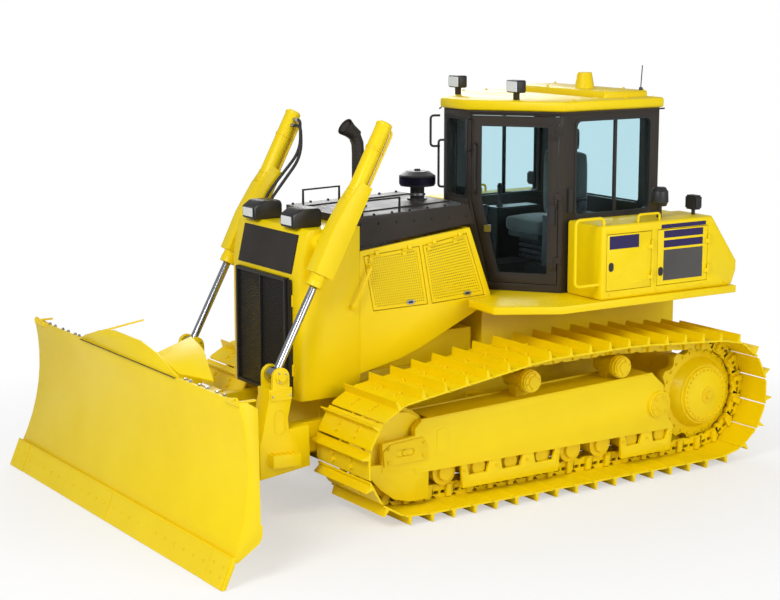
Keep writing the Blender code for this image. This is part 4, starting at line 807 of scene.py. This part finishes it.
for side, sign in SIDES:
    out = (sign, 0, 0)
    wheel = SPROCKET[:2]
    cast = []
    for y, z, _ in CARRIERS:
        cast.append(turned(beside(sign, 0.19, (y, z)), out, CARRIER_END))
        for run in (0.122, 0.150):
            cast.append(turned(beside(sign, run, (y, z)), out, [(0, 0.094), (0.012, 0.094)], 36))
    for n in range(ROLLERS):
        centre = (sign * TRACK_X, FIRST_ROLLER + ROLLER_STEP * n, PIN_HIGH + 0.160)
        for way in (1, -1):
            cast.append(turned(centre, (way, 0, 0), ROLLER_END, 24))
    cast.append(turned(beside(sign, 0.185, wheel), out, HUB))
    cast.append(turned(beside(sign, 0.128, wheel), out, COVER_RING, 48))
    cast.append(turned(beside(sign, 0.22, PIVOT_CAP), out, PIVOT_END))
    face = sorted((sign * (TRACK_X + 0.188), sign * (TRACK_X + 0.204)))
    cast.append(slab([GUIDE, oval((0.0, 0.53), 0.17, 0.055)], *face, "x", 0.003))
    cast.append(turned(beside(sign, 0.19, (0.0, 0.53)), out, [(-0.02, 0.022), (0.012, 0.022)], 16))
    plain = [slab([LID], *sorted((sign * 1.213, sign * 1.219)), "x", 0.002)]
    for x in (0.875, 1.2):
        rail = [(sign * x, 0.16, 0.755), (sign * x, WHEELBASE - 0.63, 0.84)]
        plain.append(pipe(rail, 0.012, 8))
    parts = painted(CAST_YELLOW, *cast) + painted(YELLOW, *plain)
    piece("undercarriage_details_" + side, "machine", parts)
    places = [(beside(sign, 0.153, spot), out, 0.013) for spot in spots_round(*wheel, 0.212, 30)]
    places += [(beside(sign, 0.038, spot), out, 0.014) for spot in spots_round(*wheel, 0.360, 26, 0.5)]
    rings = [spots_round(*PIVOT_CAP, 0.08, 6, 0.25)]
    rings += [spots_round(y, z, 0.062, 6, 0.25) for y, z, _ in CARRIERS]
    for on_cap, *on_carriers in zip(*rings):
        places.append((beside(sign, 0.228, on_cap), out, 0.013))
        places += [(beside(sign, 0.201, spot), out, 0.009) for spot in on_carriers]
    for start, end in ((0.54, 1.53), (2.16, 2.74)):
        count = max(2, round((end - start) / 0.33))
        for n in range(count + 1):
            y = start + 0.03 + (end - start - 0.06) * n / count
            places.append((beside(sign, 0.184, (y, 0.30)), out, 0.013))
    for spot in ((-0.15, 0.47), (-0.15, 0.58), (0.17, 0.49), (0.17, 0.59)):
        places.append((beside(sign, 0.204, spot), out, 0.016))
    bolts("undercarriage_bolts_" + side, "machine", places, CAST_YELLOW)
print("undercarriage dressed")

# %% [markdown]
# The blade's cutting edge is bolted on in four lengths: two end bits and two middle plates, with a
# row of flat bolts. On the mouldboard's top edge stand plated bolts and, at both corners, a tab with
# an eye for lifting.

# %% Blade
EDGE_TIP = Vector((0, -1.966, 0.004))
EDGE_ROOT = Vector((0, -1.873, 0.2254))
EDGE_UP = (EDGE_ROOT - EDGE_TIP).normalized()
EDGE_OUT = Vector((0, -EDGE_UP.z, EDGE_UP.y))
EDGE_PLATES = ((-1.925, -1.66, True), (-1.655, -0.003, False), (0.003, 1.655, False), (1.66, 1.925, True))
FLAT_BOLT = [(-0.4, 1.0), (0.10, 1.0), (0.22, 0.7), (0.05, 0.5)]
TAB = [(1.80, 1.235), (1.80, 1.275), (1.775, 1.295), (1.62, 1.268), (1.60, 1.235)]
TAB_FOOT = [(1.795, -1.735), (1.795, -1.60), (1.765, -1.60), (1.765, -1.735)]


def on_edge(x, up, out=0.0):
    return EDGE_TIP + Vector((x, 0, 0)) + EDGE_UP * up + EDGE_OUT * out


def on_side(sign, outline):
    return [(sign * a, b) for a, b in outline]


plates = []
places = []
for left, right, end_bit in EDGE_PLATES:
    low, high, face, ups = (0.0, 0.232, 0.006, (0.075, 0.15)) if end_bit else (0.003, 0.225, 0.003, (0.12,))
    ring = [on_edge(left, low), on_edge(right, low), on_edge(right, high), on_edge(left, high)]
    back, front = [p - EDGE_OUT * 0.006 for p in ring], [p + EDGE_OUT * face for p in ring]
    plates.append(solid([back, front], 0.002))
    count = round((right - left) / 0.15)
    for n in range(count):
        x = left + (right - left) * (n + 0.5) / count
        places += [(on_edge(x, up, face), EDGE_OUT, 0.014) for up in ups]
piece("edge_plates", "blade", painted(YELLOW, *plates))
copies("edge_bolts", "blade", [turned((0, 0, 0), UPRIGHT, FLAT_BOLT, 14)], places, CAST_YELLOW)
tabs = []
for sign in (1, -1):
    hole = oval((sign * 1.765, 1.268), 0.03, 0.03, 14)
    tabs.append(slab([on_side(sign, TAB), hole], -1.752, -1.736, "y", 0.002))
    tabs.append(slab([on_side(sign, TAB_FOOT)], 1.255, 1.268, "z", 0.002))
strip = [(-0.85, -1.757), (0.85, -1.757), (0.85, -1.748), (-0.85, -1.748)]
parts = painted(YELLOW, *tabs) + painted(SEAL, slab([strip], 1.2585, 1.2625, "z"))
piece("blade_tabs", "blade", parts)
ALONG_TOP = (0.95, 1.03, 1.17, 1.28, 1.44, 1.55)
places = [((sign * x, -1.715, 1.262), UPRIGHT, 0.015) for sign in (1, -1) for x in ALONG_TOP]
bolts("blade_top_bolts", "blade", places, BOLT_STEEL)
print("blade dressed")

# %% [markdown]
# The push frame's two towers hold the lift rods' eyes between round ears. Each ear has a bolted pin
# plate, and the tower's side has a pressed recess, a cap plate and a ribbed step.

# %% Push frame
LIFT_X = 0.70
EYE_Y, EYE_Z = -0.837, 1.143
PIN_PLATE = [(-0.004, 0.05), (0.012, 0.05), (0.014, 0.034), (0.024, 0.032), (0.024, 0.01)]
CAP = [(-0.10, 0.965), (0.088, 0.965), (0.085, 1.035), (-0.10, 1.035)]
TOWER_FACE = 0.798
for side, sign in SIDES:
    plain = []
    places = []
    for inner in (0.094, -0.094):
        x = sign * (LIFT_X + inner)
        out = (math.copysign(1, sign * inner), 0, 0)
        plain.append(turned((x, EYE_Y, EYE_Z), out, PIN_PLATE, 28))
        for way in (0.6, 2.2, 4.2):
            spot = (EYE_Y + 0.041 * math.cos(way), EYE_Z + 0.041 * math.sin(way))
            places.append(((x + out[0] * 0.012, *spot), out, 0.008))
    face = sign * TOWER_FACE
    ends = sorted((face - sign * 0.01, face + sign * 0.004))
    recess = (EYE_Y - 0.02, 0.80)
    plain.append(slab([oval(recess, 0.10, 0.20), oval(recess, 0.082, 0.18)], *ends, "x", 0.001))
    cap = [(EYE_Y + a, b) for a, b in CAP]
    plain.append(slab([cap], ends[0], ends[1] + 0.004 * (sign > 0), "x", 0.002))
    cast = []
    low, high = sorted((sign * 0.80, sign * 0.862))
    for n in range(5):
        y = EYE_Y - 0.095 + 0.045 * n
        cast.append(block((low, y, 0.552 - 0.003 * n), (high, y + 0.012, 0.566 - 0.003 * n), 0.001))
    for y in (EYE_Y - 0.08, EYE_Y + 0.07):
        places.append(((face + sign * 0.004, y, 1.0), (sign, 0, 0), 0.010))
    parts = painted(YELLOW, *plain) + painted(CAST_YELLOW, *cast)
    piece("tower_details_" + side, "push_frame", parts)
    bolts("tower_bolts_" + side, "push_frame", places, BOLT_STEEL)
print("push frame dressed")

# %% [markdown]
# Each lift cylinder has a yellow collar where the rod comes out, clamp bands round the tube, two
# steel pipes along it and two hoses that hang from its top to the guard.

# %% Lift cylinders
EYE = Vector((0, EYE_Y, EYE_Z))
TOP = Vector((0, 0.154, 3.000))
ALONG = (TOP - EYE).normalized()
BEHIND = Vector((0, ALONG.z, -ALONG.y))
PIVOT = EYE + ALONG * ((2.09 - EYE.z) / ALONG.z)
COLLAR = [(0.002, 0.060), (0.002, 0.0655), (0.05, 0.0655), (0.055, 0.0625), (0.055, 0.040), (0.002, 0.040)]
BAND = [(0, 0.058), (0, 0.067), (0.022, 0.067), (0.022, 0.058)]
END_CAP = [(-0.02, 0.064), (0.0, 0.064), (0.012, 0.052), (0.014, 0.02)]
FITTING = [(0, 0.018), (0.03, 0.018), (0.032, 0.015), (0.06, 0.015)]
for side, sign in SIDES:
    middle = Vector((sign * LIFT_X, 0, 0))
    foot = PIVOT - ALONG * 0.34 + middle
    head = TOP + middle
    bands = [turned(foot + ALONG * run, ALONG, BAND, 32, True) for run in (0.72, 0.80, 1.15)]
    parts = painted(YELLOW, turned(foot, ALONG, COLLAR, 32, True)) + painted(CAST_YELLOW, *bands)
    parts += painted(YELLOW, turned(head, ALONG, END_CAP, 32))
    for shift in (-0.022, 0.022):
        high, low = (head - ALONG * run for run in (0.03, 0.55))
        high, low = high + Vector((shift, 0, 0)), low + Vector((shift, 0, 0))
        path = [high, high + BEHIND * 0.085, low + BEHIND * 0.085, low + BEHIND * 0.03]
        parts += painted(YELLOW, pipe(eased(path, 0.04), 0.011, 10))
    inward = Vector((-sign, 0, 0))
    for lag in (0.0, 0.05):
        start = head - ALONG * (0.06 + lag) + inward * 0.055
        path = [start, start + inward * (0.05 + lag) + Vector((0, 0.03, 0.0))]
        path.append(start + inward * (0.06 + lag) + Vector((0, 0.03, -0.25)))
        path.append(Vector((start.x, PIVOT.y + 0.16, 2.34 - lag)) + inward * (0.045 + lag))
        path.append(PIVOT + middle + inward * 0.066 + BEHIND * 0.08 + ALONG * (0.12 - lag))
        parts += painted(HOSE, pipe(eased(path, 0.16, 8), 0.013, 10))
        parts += painted(BOLT_STEEL, turned(start - inward * 0.02, inward, FITTING, 12))
    piece("lift_cylinder_details_" + side, "lift_barrel_" + side, parts)
print("lift cylinders dressed")

# %% [markdown]
# The nose carries a black grille of crossed wires in its door, dark strips beside it, a blank plate
# over it and two work lamps with pale lenses. Fins of the radiator show behind the wires.

# %% Nose
GRILLE = 0.40
GRILLE_LOW, GRILLE_HIGH = 0.87, 1.82
PANE_LOW, PANE_HIGH = 0.898, 1.792
WIRE = 0.0026
COLUMN_WIRES, CROSS_WIRES, FINS = 24, 62, 60
wires = []
for column in (-1, 1):
    for n in range(COLUMN_WIRES):
        x = column * (0.016 + (GRILLE - 0.055) * (n + 0.5) / COLUMN_WIRES)
        wires.append(((x, -0.553, 0.885), Vector(UPRIGHT), (WIRE, WIRE, 0.915)))
for n in range(CROSS_WIRES):
    start = (-GRILLE + 0.02, -0.556, 0.895 + 0.89 * (n + 0.5) / CROSS_WIRES)
    wires.append((start, Vector((1, 0, 0)), (WIRE, WIRE, 2 * GRILLE - 0.04)))
copies("grille_wires", "grille_door", [turned((0, 0, 0), UPRIGHT, [(0, 1), (1, 1)], 6)], wires, BLACK_PLASTIC)
rim = [(-GRILLE, GRILLE_LOW), (GRILLE, GRILLE_LOW), (GRILLE, GRILLE_HIGH), (-GRILLE, GRILLE_HIGH)]
pane = [(0.372, PANE_LOW), (0.010, PANE_LOW), (0.010, PANE_HIGH), (0.372, PANE_HIGH)]
rim = slab([rim, on_side(1, pane), on_side(-1, pane)], -0.575, -0.5305, "y", 0.004)
grille = piece("grille_frame", "grille_door", painted(BLACK_PLASTIC, rim))
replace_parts(grille, "grille_door")
fins = [((-0.43 + 0.86 * (n + 0.5) / FINS, -0.31, 0.92), (0.0, 0.0, 0.0), 1.0) for n in range(FINS)]
copies("radiator_fins", "machine", [block((-0.002, 0, 0), (0.002, 0.03, 0.86), 0.0)], fins, BLACK_PLASTIC)
black = [block((-0.437, -0.275, 0.913), (0.437, -0.252, 1.787))]
for sign in (1, -1):
    x = sign * 0.4225
    black.append(block((x - 0.0175, -0.556, 0.88), (x + 0.0175, -0.529, 1.81)))
parts = painted(BLACK_PLASTIC, *black)
lean = Vector((0, 0.075, 0.33)).normalized()
face = Vector((0, -lean.z, lean.y))
corners = ((-0.43, 0.012), (0.43, 0.012), (0.43, 0.32), (-0.43, 0.32))
plate = [Vector((x, -0.53, 1.84)) + lean * up for x, up in corners]
plate = solid([[p - face * 0.004 for p in plate], [p + face * 0.008 for p in plate]], 0.003)
parts += painted(HOOD_DARK, plate)
for sign in (1, -1):
    for z in (1.05, 1.60):
        hinge = pipe([(sign * 0.452, -0.535, z), (sign * 0.452, -0.535, z + 0.09)], 0.010)
        parts += painted(YELLOW, hinge)
    low, high = sorted((sign * 0.232, sign * 0.388))
    parts += painted(LENS, block((low, -0.507, 2.222), (high, -0.497, 2.292), 0.003))
    rim = block((low - 0.012, -0.503, 2.212), (high + 0.012, -0.494, 2.302), 0.003)
    parts += painted(BLACK_PLASTIC, rim)
piece("nose_details", "machine", parts)
print("nose dressed with", len(wires), "wires")

# %% [markdown]
# The engine's doors are sheets with rows of round holes inside a plain rim. Each is laid out on its
# own slanting outline, given a sheet's thickness, and gets its hinge straps and a latch.

# %% Engine doors
DOOR_CORNERS = {
    "front": ((0.060, 1.955), (0.578, 1.992), (0.664, 1.521), (0.150, 1.516)),
    "rear": ((0.620, 1.995), (1.040, 2.060), (1.225, 1.544), (0.713, 1.522)),
}
BAY_FACE = 0.55
HOLE = 0.0052
COLUMNS, ROWS = 26, 22


def pierced_sheet(corners, x, thick, columns, rows):
    """A sheet laid on four corners whose inner cells each have an eight-sided hole."""
    top_front, top_rear, low_rear, low_front = (Vector(corner) for corner in corners)
    shape = bmesh.new()

    def spot(u, v):
        low = low_front.lerp(low_rear, u)
        return low.lerp(top_front.lerp(top_rear, u), v)

    def corner_row(j):
        return [shape.verts.new((x, *spot(i / columns, j / rows))) for i in range(columns + 1)]

    grid = [corner_row(j) for j in range(rows + 1)]
    for j in range(rows):
        for i in range(columns):
            ring = [grid[j][i], grid[j][i + 1], grid[j + 1][i + 1], grid[j + 1][i]]
            if i in (0, columns - 1) or j in (0, rows - 1) or i + j in (2, columns + rows - 4):
                shape.faces.new(ring)
                continue
            middle = spot((i + 0.5) / columns, (j + 0.5) / rows)
            hole = []
            for n in range(8):
                angle = math.pi * (1.25 + n / 4)
                edge = (middle.x + HOLE * math.cos(angle), middle.y + HOLE * math.sin(angle))
                hole.append(shape.verts.new((x, *edge)))
            for n in range(4):
                a, b = ring[n], ring[(n + 1) % 4]
                shape.faces.new((a, b, hole[(2 * n + 2) % 8], hole[2 * n + 1], hole[2 * n]))
    shape.normal_update()
    bmesh.ops.solidify(shape, geom=shape.faces[:], thickness=thick)
    return settle(shape)


def from_bay(sign, low, high):
    """Two distances outwards from the bay's side, as sorted X values."""
    return sorted((sign * (BAY_FACE + low), sign * (BAY_FACE + high)))


for side, sign in SIDES:
    for where, corners in DOOR_CORNERS.items():
        name = "engine_door_%s_%s" % (where, side)
        ring = [Vector(corner) for corner in corners]
        middle = sum(ring, Vector((0, 0))) / 4
        inner = [tuple(corner.lerp(middle, 0.10)) for corner in ring]
        plain = [pierced_sheet(corners, sign * (BAY_FACE - 0.004), sign * 0.004, COLUMNS, ROWS)]
        plain.append(slab([corners, inner], *from_bay(sign, -0.022, -0.001), "x", 0.0015))
        along = (ring[1] - ring[0]).normalized()
        lie = Matrix(((0, 0, sign, 0), (along.x, -along.y, 0, 0), (along.y, along.x, 0, 0), (0, 0, 0, 1)))
        for share in (0.12, 0.72):
            spot = ring[0].lerp(ring[1], share)
            ends = (spot - along * 0.018, spot + along * 0.018)
            plain.append(pipe([(sign * (BAY_FACE + 0.012), *end) for end in ends], 0.009))
            strap = block((-0.018, -0.05, -0.002), (0.018, 0.004, 0.002), 0.001)
            place = Matrix.Translation((sign * (BAY_FACE + 0.004), *spot)) @ lie
            plain.append(moved(strap, place))
        latch = tuple(ring[2].lerp(ring[3], 0.28).lerp(middle, 0.14))
        latch_plate = slab([oval(latch, 0.075, 0.035)], *from_bay(sign, 0, 0.006), "x", 0.001)
        grip = slab([oval(latch, 0.045, 0.018)], *from_bay(sign, 0.004, 0.009), "x", 0.001)
        parts = painted(YELLOW, *plain) + painted(BOLT_STEEL, latch_plate) + painted(BLACK_PLASTIC, grip)
        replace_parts(piece(name + "_sheet", name, parts), name)
    ends = ((0.10, 1.88), (-0.07, 1.56))
    bar = [(sign * 0.55, *ends[0]), (sign * 0.60, *ends[0]), (sign * 0.60, *ends[1]), (sign * 0.55, *ends[1])]
    feet = [turned(bar[n], (sign, 0, 0), [(-0.002, 0.022), (0.005, 0.022)], 16) for n in (0, 3)]
    piece("grab_bar_" + side, "machine", painted(YELLOW, pipe(eased(bar, 0.03), 0.011), *feet))
print("engine doors pierced")

# %% [markdown]
# On the black hood stand the exhaust, which gets a clamp and a rolled mouth, and the pre-cleaner
# with its smoky bowl. The hood's top has screws along its edges and two long stiffening ribs.

# %% Hood
EXHAUST_Y, CLEANER_Y = 0.35, 0.93
HOOD_RISE = 0.0342
FLARE = [(-0.13, 0.0525), (-0.05, 0.060), (0.0, 0.074), (0.006, 0.073), (0.0, 0.068), (-0.05, 0.054)]
FLARE.append((-0.13, 0.0515))


def sleeve(y, z, inner, outer, high, sides):
    """A ring round an upright pipe on the hood."""
    profile = [(0, inner), (0, outer), (high, outer), (high, inner)]
    return turned((0, y, z), UPRIGHT, profile, sides, True)


mouth = Vector((0, EXHAUST_Y - 0.12, 2.288 + 0.64))
aim = Vector((0, -0.04, 0.03)).normalized()
parts = painted(HOOD_DARK, turned(mouth, aim, FLARE, 32, True))
parts += painted(BOLT_STEEL, sleeve(EXHAUST_Y, 2.30, 0.056, 0.066, 0.03, 28))
parts += painted(BOWL, sleeve(CLEANER_Y, 2.425, 0.140, 0.152, 0.06, 40))
knob = [(0, 0.10), (0.012, 0.09), (0.016, 0.03), (0.03, 0.02)]
parts += painted(BLACK_PLASTIC, turned((0, CLEANER_Y, 2.52), UPRIGHT, knob, 32))
parts += painted(BOLT_STEEL, sleeve(CLEANER_Y, 2.33, 0.062, 0.068, 0.02, 28))
for sign in (1, -1):
    parts += painted(HOOD_DARK, pipe([(sign * 0.30, 0.02, 2.266), (sign * 0.30, 1.05, 2.301)], 0.008))
piece("hood_details", "machine", parts)
places = []
for sign in (1, -1):
    for n in range(7):
        y = 0.02 + 0.17 * n
        places.append(((sign * 0.49, y, 2.264 + HOOD_RISE * (y + 0.03)), UPRIGHT, 0.012))
        places.append(((sign * 0.515, y + 0.03, 2.20), (sign, 0, 0), 0.011))
bolts("hood_bolts", "machine", places, HOOD_DARK)
print("hood dressed")

# %% [markdown]
# The cab's windows sit in rubber seals. Around them come handles, lamps with pale lenses, an
# antenna, gutters under the roof and bolts on its cover.

# %% Cab
CAB_HALF, CAB_FRONT, CAB_REAR, CAB_POST, CAB_TOP = 0.80, 1.33, 2.86, 1.83, 3.03
DOOR_OUTER = [(0.111, 1.671), (0.545, 1.671), (0.704, 2.30), (0.704, 2.914), (0.111, 2.914)]
DOOR_INNER = [(0.125, 1.685), (0.535, 1.685), (0.690, 2.30), (0.690, 2.900), (0.125, 2.900)]


def window(left, right, low, high, inset, corner=0.045):
    a, b, c, d = left + inset, right - inset, low + inset, high - inset
    a, b, c, d = a + corner, b - corner, c + corner, d - corner
    made = []
    for start, (x, y) in enumerate(((b, d), (a, d), (a, c), (b, c))):
        for n in range(5):
            angle = math.pi / 2 * (start + n / 4)
            made.append((x + corner * math.cos(angle), y + corner * math.sin(angle)))
    return made


def door_place(sign):
    """The door's plane: X runs from its hinge, Y out of the cab, Z up."""
    post, front = Vector((sign * CAB_HALF, CAB_POST, 0)), Vector((sign * 0.19, CAB_FRONT, 0))
    along = (front - post).normalized()
    out = Vector((-along.y, along.x, 0)) * sign
    made = Matrix((along, out, UPRIGHT)).transposed().to_4x4()
    made.translation = post
    return made


parts = []
for axis, face, out, left, right, low in (
    ("x", CAB_HALF, 1, CAB_POST + 0.135, CAB_REAR - 0.09, 2.17),
    ("x", -CAB_HALF, -1, CAB_POST + 0.135, CAB_REAR - 0.09, 2.17),
    ("y", CAB_FRONT, -1, -0.145, 0.145, 2.30),
    ("y", CAB_REAR, 1, -0.62, 0.62, 2.20),
):
    rings = [window(left, right, low, CAB_TOP - 0.075, inset) for inset in (-0.012, 0.010)]
    parts += painted(SEAL, slab(rings, *sorted((face - out * 0.02, face + out * 0.004)), axis, 0.001))
for sign in (1, -1):
    x = sign * 0.775
    parts += painted(SEAL, block((x - 0.012, 2.385, 2.18), (x + 0.012, 2.415, 2.95), 0.003))
    root, grip = (sign * 0.23, 1.315), (sign * 0.26, 1.24)
    handle = [(*root, 2.96), (*grip, 2.96), (*grip, 2.70), (*root, 2.70)]
    parts += painted(BLACK_PLASTIC, pipe(eased(handle, 0.03), 0.010))
    x = sign * CAB_HALF
    parts += painted(BLACK_PLASTIC, block((x - 0.012, 1.88, 2.20), (x + 0.016, 1.93, 2.40), 0.006))
    gutter = [(sign * 0.20, 1.292, 3.022), (sign * 0.838, 1.812, 3.022), (sign * 0.838, 2.88, 3.022)]
    parts += painted(CAB_DARK, pipe(eased(gutter, 0.03), 0.007, 8))
    lens_place = Matrix.Translation(door_place(sign) @ Vector((0.42, -0.09, 0)))
    lens_place = lens_place @ Matrix.Scale(-1, 4, (0, 1, 0))
    parts += painted(LENS, moved(block((-0.072, 0.044, 3.185), (0.072, 0.056, 3.27), 0.003), lens_place))
antenna = pipe([(0.60, 2.82, 3.15), (0.60, 2.82, 3.20), (0.603, 2.83, 3.375)], 0.0045, 8)
antenna_foot = turned((0.60, 2.82, 3.14), UPRIGHT, [(0, 0.022), (0.05, 0.014)], 16)
parts += painted(BLACK_PLASTIC, antenna, antenna_foot)
lid = turned((0.10, 2.61, 3.295), UPRIGHT, [(-0.01, 0.064), (0.004, 0.058), (0.006, 0.02)], 28)
parts += painted(YELLOW, lid)
parts += painted(CAST_YELLOW, pipe([(-0.62, 2.395, 3.118), (0.62, 2.395, 3.118)], 0.006, 8))
piece("cab_details", "machine", parts)
places = [((x, y, 3.165), UPRIGHT, 0.013) for x in (-0.60, -0.2, 0.35, 0.60) for y in (2.44, 2.84)]
places += [((x, y, 3.115), UPRIGHT, 0.013) for x in (0.78, -0.78) for y in (1.95, 2.2, 2.5, 2.8)]
bolts("roof_bolts", "machine", places, CAST_YELLOW)
handle = [(0.735, 0.0, 2.35), (0.735, 0.05, 2.35), (0.735, 0.05, 2.75), (0.735, 0.0, 2.75)]
for side, sign in SIDES:
    plane = door_place(sign)
    seal = slab([DOOR_OUTER, DOOR_INNER], -0.012, 0.003, "y", 0.001)
    hinge = block((0.055, 0.0, 2.10), (0.105, 0.02, 2.26), 0.004)
    lock = block((0.60, 0.0, 2.02), (0.66, 0.018, 2.08), 0.004)
    parts = painted(SEAL, moved(seal, plane))
    parts += painted(BLACK_PLASTIC, moved(pipe(eased(handle, 0.03), 0.010), plane), moved(hinge, plane))
    parts += painted(BOLT_STEEL, moved(lock, plane))
    piece("cab_door_details_" + side, "cab_door_" + side, parts)
print("cab dressed")

# %% [markdown]
# Inside the cab the operator's seat has a crowned cushion of woven cloth on a black suspension. Two
# joysticks and a monitor stand where they show through the glass.

# %% Cab inside
CUSHION_CUTS = 11
SEAM_WIDE, SEAM_DEEP = 0.06, 0.006


def cushion(name, low, high, crown, axis):
    """A stuffed pad: a box of fine faces that swells towards its middle and has rounded edges."""
    shape = bmesh.new()
    bmesh.ops.create_cube(shape, size=2.0)
    bmesh.ops.subdivide_edges(shape, edges=shape.edges, cuts=CUSHION_CUTS, use_grid_fill=True)
    centre = (Vector(low) + Vector(high)) / 2
    half = (Vector(high) - Vector(low)) / 2
    for vert in shape.verts:
        cube = tuple(vert.co)
        soft = [math.copysign(abs(c) ** 0.75, c) for c in cube]
        keep = [1 - 0.10 * (soft[(k + 1) % 3] ** 4 + soft[(k + 2) % 3] ** 4) / 2 for k in range(3)]
        place = Vector([soft[k] * keep[k] * half[k] for k in range(3)])
        if abs(cube[axis]) > 0.99:
            a, b = (c for k, c in enumerate(cube) if k != axis)
            place[axis] += math.copysign(crown * ((1 - a ** 2) * (1 - b ** 2)), cube[axis])
            place[axis] -= math.copysign(SEAM_DEEP * math.exp(-(a / SEAM_WIDE) ** 2), cube[axis])
        vert.co = centre + place
    made = piece(name, "machine", painted(SEAT_CLOTH, settle(shape)))
    made.data.set_sharp_from_angle(angle=math.pi)
    return made


cushion("seat_cushion", (-0.25, 2.02, 1.93), (0.25, 2.47, 2.05), 0.025, 2)
cushion("seat_back_cushion", (-0.24, 2.43, 2.04), (0.24, 2.56, 2.62), 0.022, 1)
cushion("seat_headrest", (-0.13, 2.45, 2.63), (0.13, 2.55, 2.82), 0.012, 1)
foot = block((-0.20, 2.08, 1.582), (0.20, 2.45, 1.60))
pan = block((-0.22, 2.04, 1.88), (0.22, 2.46, 1.93), 0.008)
folds = [1.60 + 0.047 * n for n in range(6)]
folds = [block((-0.17, 2.11, z), (0.17, 2.42, z + 0.030), 0.012) for z in folds]
parts = painted(BLACK_PLASTIC, foot, pan) + painted(SEAL, *folds)
for sign in (1, -1):
    x = sign * 0.30
    parts += painted(BOLT_STEEL, pipe([(sign * 0.07, 2.50, 2.58), (sign * 0.07, 2.50, 2.66)], 0.007))
    rest = block((x - 0.035, 2.10, 2.20), (x + 0.035, 2.42, 2.25), 0.012)
    arm = pipe(eased([(x, 2.40, 2.22), (x, 2.50, 2.22), (sign * 0.20, 2.50, 2.22)], 0.03), 0.012)
    parts += painted(BLACK_PLASTIC, rest, arm)
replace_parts(piece("seat_suspension", "machine", parts), "seat")
STICK = [(0, 0.035), (0.02, 0.030), (0.05, 0.012), (0.12, 0.010), (0.13, 0.020), (0.20, 0.024), (0.22, 0.012)]
black = [turned((x, 2.08, 2.10), UPRIGHT, STICK, 20) for x in (0.42, -0.40)]
black.append(block((-0.52, 2.00, 1.59), (-0.32, 2.48, 2.11), 0.012))
black.append(block((-0.16, 1.44, 2.22), (0.06, 1.47, 2.36), 0.008))
parts = painted(BLACK_PLASTIC, *black)
parts += painted(GREY_PLASTIC, block((-0.145, 1.468, 2.235), (0.045, 1.473, 2.345), 0.002))
parts += painted(BLACK_PLASTIC, pipe([(-0.05, 1.455, 2.17), (-0.05, 1.455, 2.24)], 0.014))
piece("cab_controls", "machine", parts)
print("cab inside dressed")

# %% [markdown]
# The box beside the cab has navy stripes and a grey field on its rear door, a navy field on its
# front door, recessed latches, a rail and a work lamp. The fields stay blank. Rows of raised studs
# on the platform give the boots their grip.

# %% Boxes and platform
SIDE_FACE = 1.27
STUD = [(-0.2, 1.0), (0.15, 0.9), (0.4, 0.5)]


def field(start, end, low, high):
    """A thin painted rectangle on the side of the box."""
    return block((SIDE_FACE - 0.001, start, low), (SIDE_FACE + 0.0015, end, high), 0.0)


def box_latch(y, z):
    return slab([oval((y, z), 0.05, 0.075)], SIDE_FACE - 0.001, SIDE_FACE + 0.004, "x", 0.001)


parts = painted(NAVY, field(2.53, 2.96, 1.995, 2.055), field(2.53, 2.96, 1.915, 1.975))
parts += painted(PLATE_GREY, field(2.53, 2.96, 1.640, 1.895))
parts += painted(BLACK_PLASTIC, box_latch(2.50, 1.72))
piece("rear_box_door_marks", "box_door_rear", parts)
parts = painted(NAVY, field(1.95, 2.26, 1.945, 2.052)) + painted(BLACK_PLASTIC, box_latch(1.97, 1.80))
piece("front_box_door_marks", "box_door_front", parts)
parts = painted(NAVY, field(2.50, 2.99, 2.074, 2.108))
for sign in (1, -1):
    rail = [(sign * 1.22, y, z) for y, z in ((2.29, 2.13), (2.29, 2.20), (2.52, 2.20), (2.52, 2.13))]
    parts += painted(YELLOW, pipe(eased(rail, 0.03), 0.011))
    x = sign * 1.10
    stalk = pipe([(x, 3.00, 2.13), (x, 3.00, 2.20)], 0.016)
    lamp_box = block((x - 0.065, 2.955, 2.185), (x + 0.065, 3.045, 2.305), 0.014)
    parts += painted(BLACK_PLASTIC, stalk, lamp_box)
    parts += painted(LENS, block((x - 0.05, 3.044, 2.20), (x + 0.05, 3.050, 2.29), 0.002))
piece("box_details", "machine", parts)
studs = []
for sign in (1, -1):
    for i in range(9):
        for j in range(5):
            spot = (sign * (0.86 + 0.045 * i), 1.50 + 0.06 * j, 1.5295)
            studs.append((spot, Vector(UPRIGHT), 0.010))
copies("platform_studs", "machine", [turned((0, 0, 0), UPRIGHT, STUD, 12)], studs, YELLOW)
places = []
for sign in (1, -1):
    places += [((sign * 1.27, y, 1.575), (sign, 0, 0), 0.010) for y in (1.95, 2.2, 2.45, 2.7, 2.95, 3.2)]
bolts("box_bolts", "machine", places, YELLOW)
print("boxes dressed with", len(studs), "studs")
